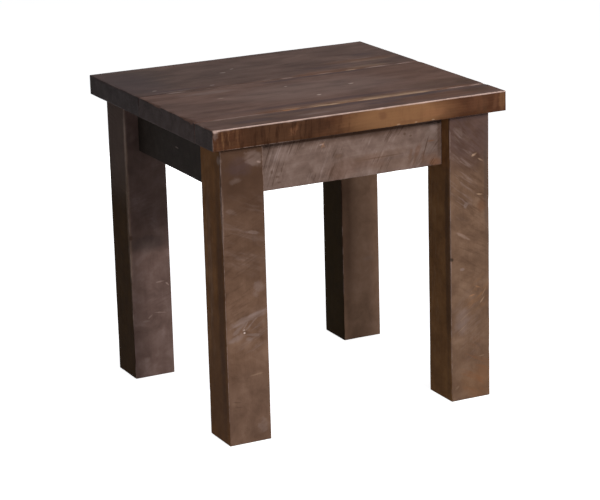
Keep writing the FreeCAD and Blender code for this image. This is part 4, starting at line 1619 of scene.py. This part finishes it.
def marks_of(name, box):
    """A board's own marks, each with the box that its shares are counted in."""
    marks = [(box, (face, *spot)) for face, spots in MARKS.get(name, ()) for spot in spots]
    if name in PLANK_SEEDS:
        deep = frame_high.y - frame_low.y
        first = (frame_high.y - box[1].y) / deep - SEAM_SHARE
        last = (frame_high.y - box[0].y) / deep + SEAM_SHARE
        marks += [(whole_top, ("top", *spot)) for spot in TOP_MARKS if first < spot[1] < last]
    return marks


for name, piece in pieces.items():
    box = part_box(name)
    look = {**(TOP_LOOK if name in PLANK_SEEDS else FRAME_LOOK), **OWN_LOOKS.get(name, {})}
    if name in APRON_AXES:
        along = APRON_AXES[name]
        box = board_between_posts(name, along)
        look["grain"] = along
        look["saw_across"] = axis_vector(along)
        look["saw_along"] = axis_vector(1 - along) + axis_vector(2)
    marks = marks_of(name, box)
    piece.data.materials.append(stained_board(name, box, look, marks))
    print(name, "has", len(marks), "marks of its own")

# %% [markdown]
# ## Braces and buttons
#
# From below, the braces in the corners and the buttons that hold the top are seen.
# Their solids have knife-sharp edges, which no sawn block keeps. They could be built
# anew, but a merged copy of each solid with a small bevel keeps its screw holes.

# %% Eased blocks
BLOCK_EASE = 0.0007
SHORTEST_EASED = 0.006
MERGED = 0.00001
FLAT = math.radians(1)
SHARP = math.radians(30)


def eased_block(name):
    """A copy of a solid with its long sharp edges broken."""
    build = bmesh.new()
    build.from_mesh(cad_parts[name].data)
    bmesh.ops.remove_doubles(build, verts=build.verts[:], dist=MERGED)
    bmesh.ops.dissolve_limit(
        build, angle_limit=FLAT, verts=build.verts[:], edges=build.edges[:],
        use_dissolve_boundaries=False,
    )
    sharp = []
    for edge in build.edges:
        if edge.calc_length() > SHORTEST_EASED and edge.calc_face_angle(0) > SHARP:
            sharp.append(edge)
    bmesh.ops.bevel(
        build, geom=sharp, offset=BLOCK_EASE, offset_type="OFFSET", affect="EDGES",
        segments=EASED_SEGMENTS, profile=0.5, clamp_overlap=True, material=-1,
    )
    return finish_mesh(build, name)


BLOCKS = [name for name in sorted(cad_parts) if name.startswith(("corner_brace", "top_button"))]
blocks = {name: eased_block(name) for name in BLOCKS}

# %% [markdown]
# ## Bare wood and steel
#
# Nobody stains what can't be seen: braces, buttons and the tongues in the seams are
# bare. They use the same figure as the boards, with the grain turned the way each
# block is sawn. The screws are zinc-plated steel, dulled in patches.

# %% Bare wood
BARE_DEEP = (0.36, 0.215, 0.105)
BARE_MID = (0.52, 0.35, 0.195)
BARE_LIGHT = (0.64, 0.465, 0.285)
BARE_RING = 0.0045
BARE_SHARES = (("Rings", 0.40), ("Fibre", 0.35), ("Streak", 0.35))
BARE_BASE = 0.05
BARE_PORES = 0.5
BARE_ROUGH = 0.6
BARE_BUMP = 0.5
BARE_PORE_DEEP = -0.4
DUST_SCALE = 18
DUST = 0.25
BLOCK_HEART = Vector((0, 0.02, 0.05))
BLOCK_HEART_STEP = Vector((0, 0.007, -0.003))
TONGUE_HEART = Vector((0, 0.04, 0.03))
TONGUE_HEART_STEP = Vector((0, 0.05, 0))


def grain_angle(name):
    """The turn about Z from X to the grain of a hidden block, in degrees."""
    if name.startswith("corner_brace"):
        return -45 if name.endswith(("front_left", "back_right")) else 45
    if name.startswith(("top_button_front", "top_button_back")):
        return 90
    return 0


def bare_wood(name, heart):
    """Unstained sawn wood."""
    material, tree, shader, place = start_material(name)
    laid = add_node(tree, "ShaderNodeMapping")
    fill(tree, laid.inputs["Vector"], place)
    laid.inputs["Rotation"].default_value = (0, 0, -math.radians(grain_angle(name)))
    laid.inputs["Location"].default_value = heart
    figure = use_group(tree, FIGURE, Place=laid.outputs[0], Ring_Width=BARE_RING)
    tone = BARE_BASE
    for part, share in BARE_SHARES:
        tone = maths(tree, "MULTIPLY_ADD", figure[part], share, tone)
    darker = between(tree, tone, low=0.25, high=0.60)
    colour = tint(tree, darker, (*BARE_LIGHT, 1), (*BARE_MID, 1))
    darkest = between(tree, tone, low=0.55, high=0.90)
    colour = tint(tree, darkest, colour, (*BARE_DEEP, 1))
    pores = maths(tree, "MULTIPLY", figure["Pores"], BARE_PORES)
    colour = tint(tree, pores, colour, (*BARE_DEEP, 1))
    dust = cloud(tree, place, DUST_SCALE, detail=3, roughness=0.6)
    dust = between(tree, dust, low=0.5, high=0.75)
    colour = tint(tree, maths(tree, "MULTIPLY", dust, DUST), colour, (*BARE_LIGHT, 1))
    fill(tree, shader.inputs["Base Color"], colour)
    rough = maths(tree, "MULTIPLY_ADD", figure["Fibre"], FIBRE_ROUGH, BARE_ROUGH)
    fill(tree, shader.inputs["Roughness"], rough)
    height = maths(tree, "MULTIPLY_ADD", figure["Pores"], BARE_PORE_DEEP, figure["Fibre"])
    raise_surface(tree, shader, height, BARE_BUMP, BUMP_REACH)
    return material


for number, name in enumerate(BLOCKS):
    heart = BLOCK_HEART + BLOCK_HEART_STEP * number
    blocks[name].data.materials.append(bare_wood(name, heart))
for number, name in enumerate(("top_spline_front", "top_spline_back")):
    wood = bare_wood(name, TONGUE_HEART + TONGUE_HEART_STEP * number)
    for part_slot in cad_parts[name].material_slots:
        part_slot.material = wood
print(len(BLOCKS), "eased blocks and 2 tongues in bare wood")

# %% Steel of the screws
ZINC = (0.52, 0.51, 0.48)
DULLED = (0.24, 0.215, 0.19)
DULL_SCALE = 420
TURNED_SCALE = 2600
STEEL_ROUGH = 0.30
DULL_ROUGH = 0.25
STEEL_BUMP = 0.25
STEEL_REACH = 0.0002


def dulled_steel():
    """Zinc-plated steel with dull patches and turning marks."""
    material, tree, shader, place = start_material("screw steel")
    patches = cloud(tree, place, DULL_SCALE, detail=4, roughness=0.65)
    patches = between(tree, patches, low=0.45, high=0.68)
    fill(tree, shader.inputs["Base Color"], tint(tree, patches, (*ZINC, 1), (*DULLED, 1)))
    shader.inputs["Metallic"].default_value = 1.0
    rough = maths(tree, "MULTIPLY_ADD", patches, DULL_ROUGH, STEEL_ROUGH)
    fill(tree, shader.inputs["Roughness"], rough)
    turned_marks = cloud(tree, place, TURNED_SCALE, detail=2)
    raise_surface(tree, shader, turned_marks, STEEL_BUMP, STEEL_REACH)
    return material


STEEL = dulled_steel()
for name in ("brace_screws", "button_screws"):
    for part_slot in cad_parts[name].material_slots:
        part_slot.material = STEEL
print("screws in", STEEL.name)
